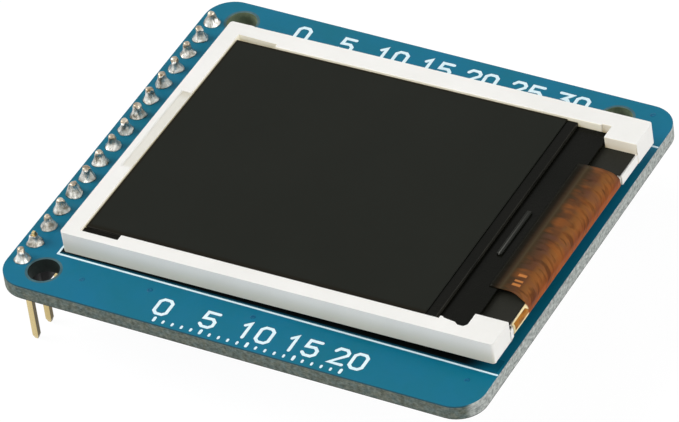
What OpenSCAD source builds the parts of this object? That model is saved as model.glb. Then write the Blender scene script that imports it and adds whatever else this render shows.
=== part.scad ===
// Small colour display module.
// A glass liquid crystal panel in a white backlight frame is taped to a blue
// circuit board. A 16 way pin header stands under the board's left end and a
// memory card socket is soldered under its right end.
// Frame: X runs from the header to the card slot, Y across the board, Z up
// through the glass. The origin is the middle of the board in plan, at the
// level of the header's pin tips.

/* [Circuit board] */
// Length of the board along X
board_length = 51.8; // [44:0.1:70]
// Width of the board along Y
board_width = 45.7; // [42:0.1:60]
// Thickness of the board
board_thick = 1.6; // [0.8:0.1:2.4]
// Radius of the board's four corners
board_corner = 3.0; // [0.5:0.1:4]
// Diameter of the mounting holes
mount_hole_d = 3.1; // [2:0.1:3.6]
// From the left edge to the two left mounting holes
hole_inset_left = 4.2; // [3.6:0.1:6]
// From the right edge to the right mounting hole
hole_inset_right = 5.8; // [3.6:0.1:8]
// From the front and back edges to the mounting holes
hole_inset_side = 2.9; // [2.4:0.1:3.4]

/* [Pin header] */
// Number of pins in the header
pin_count = 16; // [4:1:16]
// Distance from pin to pin
pin_pitch = 2.54; // [2:0.01:2.6]
// Side of a pin's square section
pin_side = 0.64; // [0.5:0.01:0.7]
// From the board's left edge to the row of pins
pin_inset = 1.42; // [1.3:0.01:3]
// How far the row sits towards the front of the board's middle
pin_row_shift = 0.22; // [0:0.01:0.4]
// Length of a pin below the plastic strip
pin_below = 6.1; // [3:0.1:12]
// Length of a pin above the plastic strip
pin_above = 3.0; // [2.6:0.1:4]
// Length of the taper at each end of a pin
pin_taper = 0.5; // [0.2:0.05:0.9]
// Height of the plastic strip
strip_height = 2.54; // [1.5:0.01:3]
// Width of the plastic strip
strip_width = 2.48; // [2:0.01:2.6]
// Diameter of the foot of a solder joint
solder_foot_d = 1.95; // [1.6:0.05:2.3]
// Height of a solder joint over the board
solder_height = 1.15; // [0.6:0.05:1.3]

/* [Display frame] */
// Length of the white backlight frame
frame_length = 46.85; // [38:0.05:60]
// Width of the white backlight frame
frame_width = 34.0; // [30:0.1:40]
// Width of the frame's wall at the left end
wall_left = 1.8; // [1.2:0.1:2.6]
// Width of the frame's wall along the front
wall_front = 1.7; // [1.3:0.1:2.4]
// Width of the frame's wall along the back
wall_back = 2.03; // [1.5:0.01:2.6]
// Radius of the frame's upright corners
frame_corner = 0.35; // [0.1:0.05:0.6]
// How far the frame's rim stands above the polarizer
rim_lip = 0.17; // [0.05:0.01:0.4]
// Width of the shelf inside the wall that carries the glass
shelf_width = 1.1; // [0.6:0.1:1.4]
// Depth of the channel in the end wall for the flat cable
end_recess = 0.25; // [0.2:0.05:0.5]
// How far the end wall stands back from the corner blocks
end_step = 0.06; // [0:0.01:0.2]
// Length of the low deck between the glass and the end wall's face
deck_length = 3.5; // [3.2:0.1:4.4]
// Width of the solid corner block at the front of the deck
block_front = 3.4; // [2.4:0.1:3.6]
// Width of the solid corner block at the back of the deck
block_back = 3.55; // [2.4:0.05:4.6]

/* [Display placing] */
// From the board's left edge to the frame
display_inset = 4.66; // [3.8:0.01:6]
// From the board's front edge to the frame
display_front = 5.9; // [4.6:0.01:8]
// Gap between the frame and the board at the left end
display_lift = 0.10; // [0.06:0.01:0.6]
// Angle by which the right end stands up on its folded cable
display_tilt = 1.377; // [1.2:0.001:1.6]
// Angle by which the display was stuck down askew
display_skew = -0.383; // [-0.6:0.001:0.6]

/* [Panel layers] */
// Thickness of the mirror sheet under the light guide
reflector_thick = 0.12; // [0.08:0.01:0.2]
// Thickness of the clear light guide
guide_thick = 0.65; // [0.5:0.01:0.9]
// Thickness of the diffusing film
diffuser_thick = 0.08; // [0.05:0.01:0.15]
// Thickness of each of the two prism films
prism_thick = 0.08; // [0.05:0.01:0.15]
// Thickness of the black tape that carries the glass
rim_tape_thick = 0.12; // [0.08:0.01:0.2]
// Thickness of the polarizer under the glass
rear_pol_thick = 0.13; // [0.08:0.01:0.15]
// Thickness of the lower glass plate
array_thick = 0.45; // [0.3:0.01:0.6]
// Thickness of the upper glass plate
filter_thick = 0.45; // [0.3:0.01:0.6]
// Thickness of the polarizer on top
front_pol_thick = 0.15; // [0.1:0.01:0.25]
// How much of the lower glass is left bare for the driver chip
ledge_length = 3.4; // [2.8:0.1:4.5]
// How far the top polarizer stops short of the upper glass's end
pol_setback = 1.1; // [0.4:0.1:1.6]
// Length of the driver chip, across the display
chip_length = 6.5; // [4:0.1:16]
// Width of the driver chip
chip_width = 0.5; // [0.4:0.05:0.9]
// Thickness of the driver chip
chip_thick = 0.25; // [0.15:0.01:0.4]

/* [Flat cable] */
// Thickness of the flat cable
cable_thick = 0.1; // [0.06:0.01:0.14]
// Width of the cable where it is bonded to the glass
cable_width = 18.8; // [12:0.1:23]
// Gap from the back corner block to the cable
cable_gap_back = 3.65; // [0.4:0.05:4]
// Gap from the front corner block to the wider folded part of the cable
cable_gap_front = 1.0; // [0.4:0.05:3]
// Length of the cable bonded to the glass
bond_length = 0.9; // [0.6:0.05:1.2]
// Length of the cable's end under the frame, to its solder
cable_tail = 8.0; // [5:0.1:12]
// Length over which the cable comes down from the frame to the board
cable_drop = 4.0; // [3:0.1:4.5]
// Radius of the fold round the frame's lower edge
fold_radius = 0.35; // [0.3:0.05:0.55]

/* [Card socket] */
// Width of the memory card that the socket takes
card_width = 24.0; // [20:0.1:26]
// Thickness of the memory card
card_thick = 2.1; // [1:0.1:2.4]
// Length of the socket, along X
socket_length = 26.0; // [22:0.1:30]
// Thickness of the socket's sheet metal
shell_thick = 0.2; // [0.15:0.01:0.3]
// From the board's right edge to the mouth of the socket
socket_setback = 2.4; // [0.5:0.1:3]

/* [Clearances] */
// Gap round a film or glass plate in its pocket
pocket_play = 0.1; // [0.05:0.01:0.2]
// Gap between a pin's corners and the wall of its plated hole
pin_play = 0.0475; // [0.03:0.0005:0.1]
// Gap above the films, below the tape
film_play = 0.07; // [0.05:0.01:0.15]
// Gap between the cable and the frame that it passes
cable_play = 0.03; // [0.02:0.01:0.05]
// Gap round a card in its socket
card_play = 0.15; // [0.05:0.01:0.3]

/* [Hidden] */
$fn = 48;
bit = 0.01;
two = function (n) n < 10 ? str("0", n) : str(n);
PINS = [for (n = [1 : pin_count]) str("header_pin_", two(n))];
JOINTS = [for (n = [1 : pin_count]) str("solder_joint_", two(n))];

// Heights of the board over the pin tips
board_bottom = pin_below + strip_height;
board_top = board_bottom + board_thick;
board_left = -board_length / 2;
board_front = -board_width / 2;
pin_x = board_left + pin_inset;
pin_hole_d = pin_side * sqrt(2) + 2 * pin_play;
function pin_y(n) = (n - (pin_count - 1) / 2) * pin_pitch - pin_row_shift;

// Heights of the panel's layers over the frame's underside
guide_z = reflector_thick;
diffuser_z = guide_z + guide_thick;
prism_z = diffuser_z + diffuser_thick;
films_top = prism_z + 2 * prism_thick;
shelf_z = films_top + film_play;
glass_z = shelf_z + rim_tape_thick;
ledge_z = glass_z + array_thick;
filter_top = ledge_z + filter_thick;
pol_top = filter_top + front_pol_thick;
frame_height = pol_top + rim_lip;

// Places along the display, from the frame's left face
end_face = frame_length - end_recess;
deck_x = frame_length - deck_length;
glass_end = deck_x - pocket_play;
filter_end = glass_end - ledge_length;
pol_end = filter_end - pol_setback;
back_wall_y = frame_width - wall_back;
opening_width = back_wall_y - wall_front;
deck_front = block_front;
deck_back = frame_width - block_back;

// Lower pocket, for the films and the light guide
pocket_x0 = wall_left + shelf_width;
pocket_x1 = deck_x - shelf_width;
pocket_y0 = wall_front + shelf_width;
pocket_y1 = back_wall_y - shelf_width;

// Trough under the deck, for the light emitting diodes
trough_x1 = deck_x + 1.6;
trough_side = 1.6;
led_count = 3;
led_length = 3.0;
led_depth = 0.9;
led_height = 0.7;
led_z = 0.16;
led_x = pocket_x1 + pocket_play;
strip_thick = 0.1;

// Corner pockets in the frame's opening, beside the glass
relief_depth = 0.75;
relief_back = 0.45;
relief_length = 4.15;
nub_size = 0.3;
thumb_depth = 0.25;
thumb_start = filter_end + 2.6;
notch_start = filter_end + 2.45;
notch_depth = 0.2;

// Shallow recess in the left wall's top, and lug on the back wall
recess_y0 = 10.75;
recess_y1 = 22.9;
recess_wall = 0.7;
recess_depth = 0.12;
lug_length = 2.9;
lug_proud = 0.12;

// Bevel on the end wall where the cable passes over it
cable_back = deck_back - cable_gap_back;
cable_front = cable_back - cable_width;
shoulder_front = deck_front + cable_gap_front;
bevel = 0.28;
bevel_margin = 0.3;

// Centre line of the cable: x along the display, y up from the frame's underside
cable_mid = cable_thick / 2;
bend_x = end_face + cable_play + cable_mid;
bond_x = glass_end - bond_length;
crest_z = ledge_z + cable_mid;
arch_start = glass_end + 0.7;
arch_end_z = 0.7 * shelf_z;
function board_line(x) = -(display_lift + x * sin(display_tilt)) / cos(display_tilt);
function mix(a, b, t) = a + (b - a) * t;
function bezier(a, b, c, d, t) =
    pow(1 - t, 3) * a + 3 * pow(1 - t, 2) * t * b + 3 * (1 - t) * t * t * c + pow(t, 3) * d;
arch_steps = 14;
arch = [for (i = [0 : arch_steps]) bezier(
    [arch_start, crest_z],
    [arch_start + 1.7, crest_z],
    [bend_x, crest_z - 0.26],
    [bend_x, arch_end_z],
    i / arch_steps)];
fold_x = bend_x - fold_radius;
edge_radius = fold_radius - cable_mid - cable_play;
fold_z = edge_radius;
fold_steps = 12;
function arc(r, i) = let (a = -90 * i / fold_steps) [fold_x + r * cos(a), fold_z + r * sin(a)];
fold = [for (i = [0 : fold_steps]) arc(fold_radius, i)];
// The cable comes down in a double curve, and its end lies along the board
along_board = [cos(display_tilt), -sin(display_tilt)];
drop_end = let (x = fold_x - cable_drop) [x, board_line(x) + cable_mid + cable_play];
drop_steps = 12;
drop = [for (i = [1 : drop_steps]) bezier(
    fold[fold_steps],
    fold[fold_steps] - [0.5 * cable_drop, 0],
    drop_end + 0.45 * cable_drop * along_board,
    drop_end,
    i / drop_steps)];
tail_end = drop_end - (cable_tail - cable_drop) * along_board;
cable_over = concat([[bond_x, crest_z]], arch);
cable_under = concat([[bend_x, arch_end_z]], fold, drop, [tail_end]);

// Both edges of a ribbon of even thickness along a line of points
function heading(p, i) =
    let (a = p[max(i - 1, 0)], b = p[min(i + 1, len(p) - 1)], d = b - a) d / norm(d);
function beside(p, off) = [for (i = [0 : len(p) - 1])
    let (h = heading(p, i)) p[i] + off * [-h[1], h[0]]];
function reversed(p) = [for (i = [len(p) - 1 : -1 : 0]) p[i]];
module ribbon_section(points, thick) {
    polygon(concat(beside(points, thick / 2), reversed(beside(points, -thick / 2))));
}

// Card socket, measured down from the board's underside
socket_floor = 0.45;
socket_room = card_thick + 2 * card_play;
socket_height = socket_floor + socket_room + shell_thick;
socket_inner = card_width + 2 * card_play;
rail_width = 1.3;
rail_setback = 1.5;
socket_width = socket_inner + 2 * rail_width + 2 * shell_thick;
socket_x1 = board_length / 2 - socket_setback;
socket_x0 = socket_x1 - socket_length;
heel = 2.4;
contact_count = 9;
contact_width = 0.9;
contact_margin = 1.7;
contact_pitch = (socket_inner - contact_width - 2 * contact_margin) / (contact_count - 1);
contact_thick = 0.15;
contact_reach = 7.5;
contact_rise = 0.9;
contact_tail = 0.9;
groove_play = 0.1;

// Square with four rounded corners, cornered at the origin
module rounded(size, r) {
    translate([r, 0]) square([size[0] - 2 * r, size[1]]);
    translate([0, r]) square([size[0], size[1] - 2 * r]);
    for (x = [r, size[0] - r], y = [r, size[1] - r]) translate([x, y]) circle(r);
}

// Box between two corners
module block(low, high) {
    translate(low) cube(high - low);
}

// A profile drawn in X and Z, run across the display from one place to another
module across(y0, y1) {
    translate([0, y1, 0]) rotate([90, 0, 0]) linear_extrude(y1 - y0) children();
}

// Puts what is drawn from the frame's lower front left corner where the display lies
module on_board() {
    translate([board_left + display_inset, board_front + display_front, board_top + display_lift])
        rotate([0, 0, display_skew])
        rotate([0, -display_tilt, 0])
        children();
}

// Puts what is drawn upwards from zero under the board, hanging down
module under_board() {
    translate([0, 0, board_bottom]) mirror([0, 0, 1]) children();
}

// ---- Circuit board and header ----

module circuit_board() {
    back_y = board_width / 2 - hole_inset_side;
    left_x = board_left + hole_inset_left;
    color("teal")
    difference() {
        translate([board_left, board_front, board_bottom])
            linear_extrude(board_thick) rounded([board_length, board_width], board_corner);
        for (p = [[left_x, -back_y], [left_x, back_y], [board_length / 2 - hole_inset_right, back_y]])
            translate([p[0], p[1], board_bottom - bit])
                cylinder(d = mount_hole_d, h = board_thick + 2 * bit);
        for (n = [0 : pin_count - 1])
            translate([pin_x, pin_y(n), board_bottom - bit])
                cylinder(d = pin_hole_d, h = board_thick + 2 * bit);
    }
}

// Plastic strip with a waist between neighbouring pins, pierced by them all
module header_strip() {
    waist = 0.35;
    half = strip_width / 2;
    side = [for (n = [0 : pin_count - 1], s = [[-0.5, 1], [-0.25, 0], [0.25, 0], [0.5, 1]])
        [half - waist * s[1], pin_y(n) + s[0] * pin_pitch]];
    color("dimgray")
    difference() {
        translate([pin_x, 0, pin_below]) linear_extrude(strip_height)
            polygon(concat(side, [for (p = reversed(side)) [-p[0], p[1]]]));
        for (n = [0 : pin_count - 1])
            translate([pin_x - pin_side / 2, pin_y(n) - pin_side / 2, pin_below - bit])
                cube([pin_side, pin_side, strip_height + 2 * bit]);
    }
}

// Side view of a square pin, drawn to a blunt point at both ends
module pin_outline() {
    length = pin_below + strip_height + pin_above;
    half = pin_side / 2;
    tip = pin_side / 5;
    polygon([
        [-tip, 0], [tip, 0], [half, pin_taper], [half, length - pin_taper],
        [tip, length], [-tip, length], [-half, length - pin_taper], [-half, pin_taper]
    ]);
}

module header_pin(n) {
    color("goldenrod")
    translate([pin_x, pin_y(n), 0])
    intersection() {
        translate([0, pin_side / 2, 0]) rotate([90, 0, 0]) linear_extrude(pin_side) pin_outline();
        translate([-pin_side / 2, 0, 0]) rotate([90, 0, 90]) linear_extrude(pin_side) pin_outline();
    }
}

// Concave cone of solder round a pin where it comes through the board
module solder_joint(n) {
    foot = solder_foot_d / 2;
    neck = pin_side * 0.78;
    steps = 8;
    curve = [for (i = [0 : steps]) let (t = i / steps)
        [neck + (foot - neck) * pow(1 - t, 1.7), solder_height * t]];
    color("silver")
    translate([pin_x, pin_y(n), board_top])
    difference() {
        rotate_extrude() polygon(concat([[0, 0]], curve, [[0, solder_height]]));
        translate([-pin_side / 2, -pin_side / 2, -bit])
            cube([pin_side, pin_side, solder_height + 2 * bit]);
    }
}

// ---- Backlight frame ----

// Outline of the frame seen from above, with the lug at its back left corner
module frame_outline() {
    rounded([frame_length, frame_width], frame_corner);
    rounded([lug_length, frame_width + lug_proud], frame_corner);
}

// Outline of the opening that the glass lies in
module opening_outline() {
    relief_end = wall_left + relief_length;
    nub_x = filter_end + 0.55;
    polygon([
        [wall_left, wall_front - relief_depth],
        [relief_end, wall_front - relief_depth],
        [relief_end, wall_front],
        [nub_x, wall_front],
        [nub_x, wall_front + nub_size],
        [nub_x + nub_size, wall_front + nub_size],
        [nub_x + 1.2 * nub_size, wall_front + 0.1],
        [thumb_start - 0.4, wall_front + 0.05],
        [thumb_start, wall_front - thumb_depth],
        [deck_x - 0.3, wall_front - thumb_depth],
        [deck_x, wall_front + 0.1],
        [deck_x, deck_front],
        [deck_x, back_wall_y + notch_depth],
        [notch_start, back_wall_y + notch_depth],
        [notch_start, back_wall_y],
        [relief_end + 0.3, back_wall_y],
        [relief_end + 0.3, back_wall_y + relief_back],
        [wall_left, back_wall_y + relief_back]
    ]);
}

module backlight_frame() {
    tall = 2 * frame_height;
    color("whitesmoke") on_board()
    difference() {
        linear_extrude(frame_height) frame_outline();
        // upper opening, low deck and the set back end wall
        translate([0, 0, shelf_z]) linear_extrude(frame_height) opening_outline();
        block([wall_left, wall_front, shelf_z], [deck_x, back_wall_y, ledge_z + pocket_play]);
        block([deck_x - bit, deck_front, shelf_z], [frame_length + 1, deck_back, tall]);
        block([frame_length - end_step, deck_front, -1], [frame_length + 1, deck_back, tall]);
        // channel for the cable, with a bevel above and a round edge below
        across(shoulder_front - bevel_margin, cable_back + bevel_margin) polygon(concat(
            [[fold_x, -1], [frame_length + 1, -1], [frame_length + 1, shelf_z + bit]],
            [[end_face - bevel, shelf_z + bit], [end_face, shelf_z - bevel]],
            [for (i = [0 : fold_steps]) arc(edge_radius, i)]
        ));
        // lower pocket, reflector recess and trough for the diodes
        block([pocket_x0, pocket_y0, -1], [pocket_x1, pocket_y1, tall]);
        block([wall_left, wall_front, -1], [trough_x1 + shelf_width, back_wall_y, reflector_thick]);
        block([pocket_x1 - bit, pocket_y0 + trough_side, reflector_thick - bit],
            [trough_x1, pocket_y1 - trough_side, shelf_z + bit]);
        // shallow recess in the left wall
        block([recess_wall, recess_y0, frame_height - recess_depth],
            [wall_left + bit, recess_y1, tall]);
    }
}

// ---- Backlight layers ----

// A plate in the lower pocket, with play all round it
module pocket_plate(z, thick) {
    block([pocket_x0 + pocket_play, pocket_y0 + pocket_play, z],
        [pocket_x1 - pocket_play, pocket_y1 - pocket_play, z + thick]);
}

module reflector_sheet() {
    color("gainsboro") on_board()
        block([wall_left + pocket_play, wall_front + pocket_play, 0],
            [trough_x1 + shelf_width - pocket_play, back_wall_y - pocket_play, reflector_thick]);
}

module light_guide() {
    color("azure") on_board() pocket_plate(guide_z, guide_thick);
}

module diffuser_film() {
    color("white") on_board() pocket_plate(diffuser_z, diffuser_thick);
}

module lower_prism_film() {
    color("lightgray") on_board() pocket_plate(prism_z, prism_thick);
}

module upper_prism_film() {
    color("lightgray") on_board() pocket_plate(prism_z + prism_thick, prism_thick);
}

// Flexible strip under the deck that carries the diodes
module led_strip() {
    color("peru") on_board()
        block([led_x, pocket_y0 + trough_side + pocket_play, led_z + led_height],
            [trough_x1 - pocket_play, pocket_y1 - trough_side - pocket_play,
                led_z + led_height + strip_thick]);
}

// Side emitting diodes that hang under the strip and face the light guide
module backlight_leds() {
    run = pocket_y1 - pocket_y0;
    color("lightyellow") on_board()
    for (n = [1 : led_count])
        translate([led_x, pocket_y0 + run * n / (led_count + 1) - led_length / 2, led_z])
            difference() {
                cube([led_depth, led_length, led_height]);
                translate([-bit, 0.4, 0.15]) cube([0.25, led_length - 0.8, led_height - 0.3]);
            }
}

// ---- Glass panel ----

// Black double sided tape: a ring on the shelf and a flap over the deck
module rim_tape() {
    window = 0.25;
    color("black") on_board()
    difference() {
        union() {
            block([wall_left + pocket_play, wall_front + pocket_play, shelf_z],
                [deck_x, back_wall_y - pocket_play, glass_z]);
            block([deck_x - bit, deck_front + pocket_play, shelf_z],
                [end_face, deck_back - pocket_play, glass_z]);
        }
        block([pocket_x0 + window, pocket_y0 + window, shelf_z - 1],
            [pocket_x1 - 2 * window, pocket_y1 - window, glass_z + 1]);
        block([end_face - bevel, shoulder_front - bevel_margin, shelf_z - 1],
            [end_face + 1, cable_back + bevel_margin, glass_z + 1]);
    }
}

module rear_polarizer() {
    inset = 0.35;
    color("dimgray") on_board()
        block([pocket_x0 + inset, pocket_y0 + inset, glass_z - rear_pol_thick],
            [pocket_x1 - 2 * inset, pocket_y1 - inset, glass_z]);
}

// A plate of the glass sandwich between two heights, up to a given end
module panel_plate(z0, z1, end) {
    block([wall_left + pocket_play, wall_front + pocket_play, z0],
        [end, back_wall_y - pocket_play, z1]);
}

module lower_glass() {
    color("darkslategray") on_board() panel_plate(glass_z, ledge_z, glass_end);
}

module upper_glass() {
    color("darkslategray") on_board() panel_plate(ledge_z, filter_top, filter_end);
}

module front_polarizer() {
    color("black") on_board() panel_plate(filter_top, pol_top, pol_end);
}

module driver_chip() {
    chip_x = filter_end + 1.1;
    chip_y = wall_front + 0.36 * opening_width - chip_length * 0.05;
    color("gray") on_board()
        block([chip_x, chip_y, ledge_z], [chip_x + chip_width, chip_y + chip_length, ledge_z + chip_thick]);
}

// ---- Flat cable ----

// Narrow where it leaves the glass, wider where it turns down the end wall
module display_cable() {
    color("chocolate") on_board() {
        across(cable_front, cable_back) ribbon_section(cable_over, cable_thick);
        across(shoulder_front, cable_back) ribbon_section(cable_under, cable_thick);
    }
}

// Row of solder fillets that holds the cable's end to the board
module cable_solder() {
    count = 14;
    pad = 0.7;
    step = (cable_back - shoulder_front - 2) / (count - 1);
    color("silver") on_board()
    for (n = [0 : count - 1])
        across(shoulder_front + 1 + n * step - pad / 2, shoulder_front + 1 + n * step + pad / 2)
            polygon([
                [tail_end[0] - 1, board_line(tail_end[0] - 1)],
                [tail_end[0], board_line(tail_end[0])],
                [tail_end[0], board_line(tail_end[0]) + 0.16]
            ]);
}

// Foam tape squeezed between the frame and the board
module foam_wedge(x0, x1) {
    across(2, frame_width - 2) polygon([
        [x0, board_line(x0)], [x1, board_line(x1)], [x1, 0], [x0, 0]
    ]);
}

module foam_pads() {
    color("dimgray") on_board() {
        foam_wedge(1.2, 8);
        foam_wedge(tail_end[0] - 8, tail_end[0] - 1.6);
    }
}

// ---- Parts under the board ----

// Plastic floor with a groove under each contact
module card_socket_floor() {
    half = socket_width / 2 - shell_thick;
    groove = contact_width / 2 + groove_play;
    groove_end = socket_x0 + heel + contact_reach + 0.6;
    color("darkslategray") under_board()
    difference() {
        block([socket_x0 + shell_thick, -half, 0], [socket_x1 - rail_setback, half, socket_floor]);
        for (n = [0 : contact_count - 1]) translate([0, contact_y(n), 0])
            block([socket_x0 - 1, -groove, -1], [groove_end, groove, 1]);
    }
}

// Plastic heel that the card stops against, with a rail along each side of the card
module card_socket_rails() {
    half = socket_width / 2 - shell_thick;
    inner = socket_inner / 2;
    top = socket_height - shell_thick;
    color("darkslategray") under_board()
    difference() {
        block([socket_x0 + shell_thick, -half, socket_floor], [socket_x1 - rail_setback, half, top]);
        block([socket_x0 + heel, -inner, 0], [socket_x1, inner, top + 1]);
    }
}

function contact_y(n) = (n - (contact_count - 1) / 2) * contact_pitch;

// Sprung strips that rise from the floor to meet the card's pads
module card_contacts() {
    start = socket_x0 - contact_tail;
    root = socket_x0 + heel;
    spring = [
        [start, contact_thick / 2],
        [socket_x0 + 0.5, contact_thick / 2],
        [root, contact_thick / 2 + 0.15],
        [root + 0.6 * contact_reach, socket_floor + contact_rise * 0.7],
        [root + 0.85 * contact_reach, socket_floor + contact_rise],
        [root + contact_reach, socket_floor + contact_rise * 0.6]
    ];
    color("gold") under_board()
    for (n = [0 : contact_count - 1])
        across(contact_y(n) - contact_width / 2, contact_y(n) + contact_width / 2)
            ribbon_section(spring, contact_thick);
}

// Flat cover of the metal shell, with two latch windows and a finger notch at the mouth
module card_socket_cover() {
    half = socket_width / 2;
    inside = socket_height - shell_thick;
    color("lightsteelblue") under_board()
    difference() {
        block([socket_x0, -half, inside], [socket_x1, half, socket_height]);
        translate([socket_x1 + 2, 0, inside - 1]) cylinder(r = 6, h = 3);
        for (y = [-7, 7])
            block([socket_x0 + 8, y - 1.2, inside - 1], [socket_x0 + 15, y + 1.2, inside + 1]);
    }
}

// Side and heel walls of the metal shell, with four feet to solder down
module card_socket_walls() {
    half = socket_width / 2;
    inside = socket_height - shell_thick;
    foot = 1.6;
    color("lightsteelblue") under_board()
    difference() {
        union() {
            difference() {
                block([socket_x0, -half, 0.1], [socket_x1, half, inside]);
                block([socket_x0 + shell_thick, -half + shell_thick, 0],
                    [socket_x1 + 1, half - shell_thick, inside + 1]);
            }
            for (s = [0, 1], x = [socket_x0 + 1.5, socket_x1 - 3.5]) mirror([0, s, 0])
                block([x, half - bit, 0], [x + foot, half + 0.8, shell_thick]);
        }
        // heel wall stays open over the contact tails
        block([socket_x0 - 1, -socket_inner / 2, -1], [socket_x0 + shell_thick + bit, socket_inner / 2, 1]);
        for (x = [6, 16]) block([socket_x0 + x, -half - 1, 0.9], [socket_x0 + x + 3, half + 1, 1.9]);
    }
}

// Small power regulator, with its leads, between the header and the socket
regulator_at = [pin_x + 7.5, 9];
regulator_size = [1.6, 2.9, 1.1];

module voltage_regulator() {
    color("dimgray") under_board()
    translate([regulator_at[0] - regulator_size[0] / 2, regulator_at[1] - regulator_size[1] / 2, 0.1])
        difference() {
            cube(regulator_size);
            translate([0.35, 0.45, regulator_size[2] - 0.05]) cylinder(d = 0.3, h = 1);
        }
}

module regulator_leads() {
    reach = regulator_size[0] / 2;
    lead = [
        [reach, 0.55], [reach + 0.15, 0.55], [reach + 0.3, 0.3],
        [reach + 0.45, 0.08], [reach + 0.8, 0.08]
    ];
    color("silver") under_board()
    translate(regulator_at)
    for (s = [0, 1], y = s == 0 ? [-0.95, 0, 0.95] : [-0.95, 0.95]) mirror([s, 0, 0])
        across(y - 0.2, y + 0.2) ribbon_section(lead, 0.15);
}

// Body of a chip part with its two end caps, lying along Y
module chip_part(size) {
    cap = size[1] * 0.2;
    translate([-size[0] / 2, -size[1] / 2, 0]) {
        translate([0.03, cap, 0.03]) cube([size[0] - 0.06, size[1] - 2 * cap, size[2] - 0.06]);
        for (y = [0, size[1] - cap]) translate([0, y, 0]) cube([size[0], cap, size[2]]);
    }
}

module ceramic_capacitors() {
    color("tan") under_board()
    for (p = [[4.2, 9], [10.8, 9], [7.5, -12]]) translate([pin_x + p[0], p[1], 0])
        chip_part([1.25, 2.0, 0.8]);
}

module chip_resistors() {
    color("dimgray") under_board()
    for (n = [0 : 4]) translate([pin_x + 7.5, 4.5 - n * 2.6, 0]) rotate([0, 0, 90])
        chip_part([0.8, 1.6, 0.45]);
}

circuit_board();
header_strip();
backlight_frame();
reflector_sheet();
light_guide();
diffuser_film();
lower_prism_film();
upper_prism_film();
led_strip();
backlight_leds();
rim_tape();
rear_polarizer();
lower_glass();
upper_glass();
front_polarizer();
driver_chip();
display_cable();
cable_solder();
foam_pads();
card_socket_floor();
card_socket_rails();
card_socket_cover();
card_socket_walls();
card_contacts();
voltage_regulator();
regulator_leads();
ceramic_capacitors();
chip_resistors();
for (n = [0 : pin_count - 1]) {
    header_pin(n);
    solder_joint(n);
}
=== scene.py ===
# %% [markdown]
# # A small colour display on its circuit board
# The display is a glass panel in a white plastic frame. The frame is taped to a blue board with a pin
# header at one end and a card socket underneath. The shapes that carry sizes come from the CAD model.
# This file gives them their looks: it loads that model, builds finer pieces round it, and paints them
# with materials made only of shader nodes.

# %% Load the CAD model
import math

import bmesh
import bpy
import numpy as np
from mathutils import Matrix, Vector
from mathutils.geometry import delaunay_2d_cdt


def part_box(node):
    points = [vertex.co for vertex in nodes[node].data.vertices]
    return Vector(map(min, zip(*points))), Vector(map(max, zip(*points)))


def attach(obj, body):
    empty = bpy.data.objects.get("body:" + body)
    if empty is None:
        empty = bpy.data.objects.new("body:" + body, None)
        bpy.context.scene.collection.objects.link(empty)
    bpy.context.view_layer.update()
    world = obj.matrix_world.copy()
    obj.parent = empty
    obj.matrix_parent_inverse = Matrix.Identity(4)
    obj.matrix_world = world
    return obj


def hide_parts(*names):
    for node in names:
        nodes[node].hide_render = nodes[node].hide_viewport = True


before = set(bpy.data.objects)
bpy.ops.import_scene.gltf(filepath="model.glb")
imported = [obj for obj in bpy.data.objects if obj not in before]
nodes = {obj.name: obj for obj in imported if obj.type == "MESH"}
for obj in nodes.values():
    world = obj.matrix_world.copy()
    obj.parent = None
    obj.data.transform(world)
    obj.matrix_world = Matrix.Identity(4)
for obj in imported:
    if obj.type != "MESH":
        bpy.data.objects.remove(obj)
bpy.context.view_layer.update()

MM = 0.001


# %% [markdown]
# ## Camera
# A long lens, far away, keeps the board's edges nearly parallel, as in a catalogue picture. The camera is
# placed by its direction round the object, its height in degrees, its distance, and a small roll.
# Three vectors at right angles (right, up and back) make its turning matrix.

# %% Camera
AZIMUTH, ELEVATION, ROLL = math.radians(33.0656), math.radians(40.5917), math.radians(-7.9925)
DISTANCE = 538.46 * MM
LOOK_AT = np.array([1.074, -2.076, 10.24]) * MM
FOCAL_LENGTH, SENSOR, NEAREST = 297.02, 36.0, 0.01


def in_scene(name, data):
    """A new object in the scene that shows the data."""
    made = bpy.data.objects.new(name, data)
    bpy.context.scene.collection.objects.link(made)
    return made


def stand(thing, right, up, back, spot=(0, 0, 0)):
    """Places a camera or a lamp: its three axes and its spot are the columns of its matrix."""
    matrix = np.eye(4)
    matrix[:3] = np.column_stack([right, up, back, spot])
    thing.matrix_world = Matrix(matrix.tolist())


def make_camera():
    """Back points from the target to the camera; right is level before the roll; up is back cross right."""
    level_reach = math.cos(ELEVATION)
    back = np.array([math.sin(AZIMUTH) * level_reach, -math.cos(AZIMUTH) * level_reach, math.sin(ELEVATION)])
    level = np.array([math.cos(AZIMUTH), math.sin(AZIMUTH), 0.0])
    steep = np.cross(back, level)
    right = math.cos(ROLL) * level + math.sin(ROLL) * steep
    up = math.cos(ROLL) * steep - math.sin(ROLL) * level
    data = bpy.data.cameras.new("camera")
    data.lens, data.sensor_width, data.clip_start = FOCAL_LENGTH, SENSOR, NEAREST
    camera = in_scene("camera", data)
    stand(camera, right, up, back, LOOK_AT + DISTANCE * back)
    bpy.context.scene.camera = camera
    return camera


camera = make_camera()
print("camera at", [round(c / MM, 1) for c in camera.matrix_world.translation])

# %% [markdown]
# ## Where things lie
# Everything is worked out in millimetres and turned into metres at the end. The board lies level. The
# display leans a little on its folded cable, so it has axes of its own: u along it, v across it and w out
# of the glass. The polarizer is a plain box in the CAD model, so its eight corners give those axes: for
# the corners of a box, the principal directions of the points are the directions of its edges.

# %% Places read from the CAD model
def box_mm(name):
    """Lowest and highest corner of a CAD node in millimetres."""
    low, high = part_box(name)
    return np.array(low) / MM, np.array(high) / MM


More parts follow.
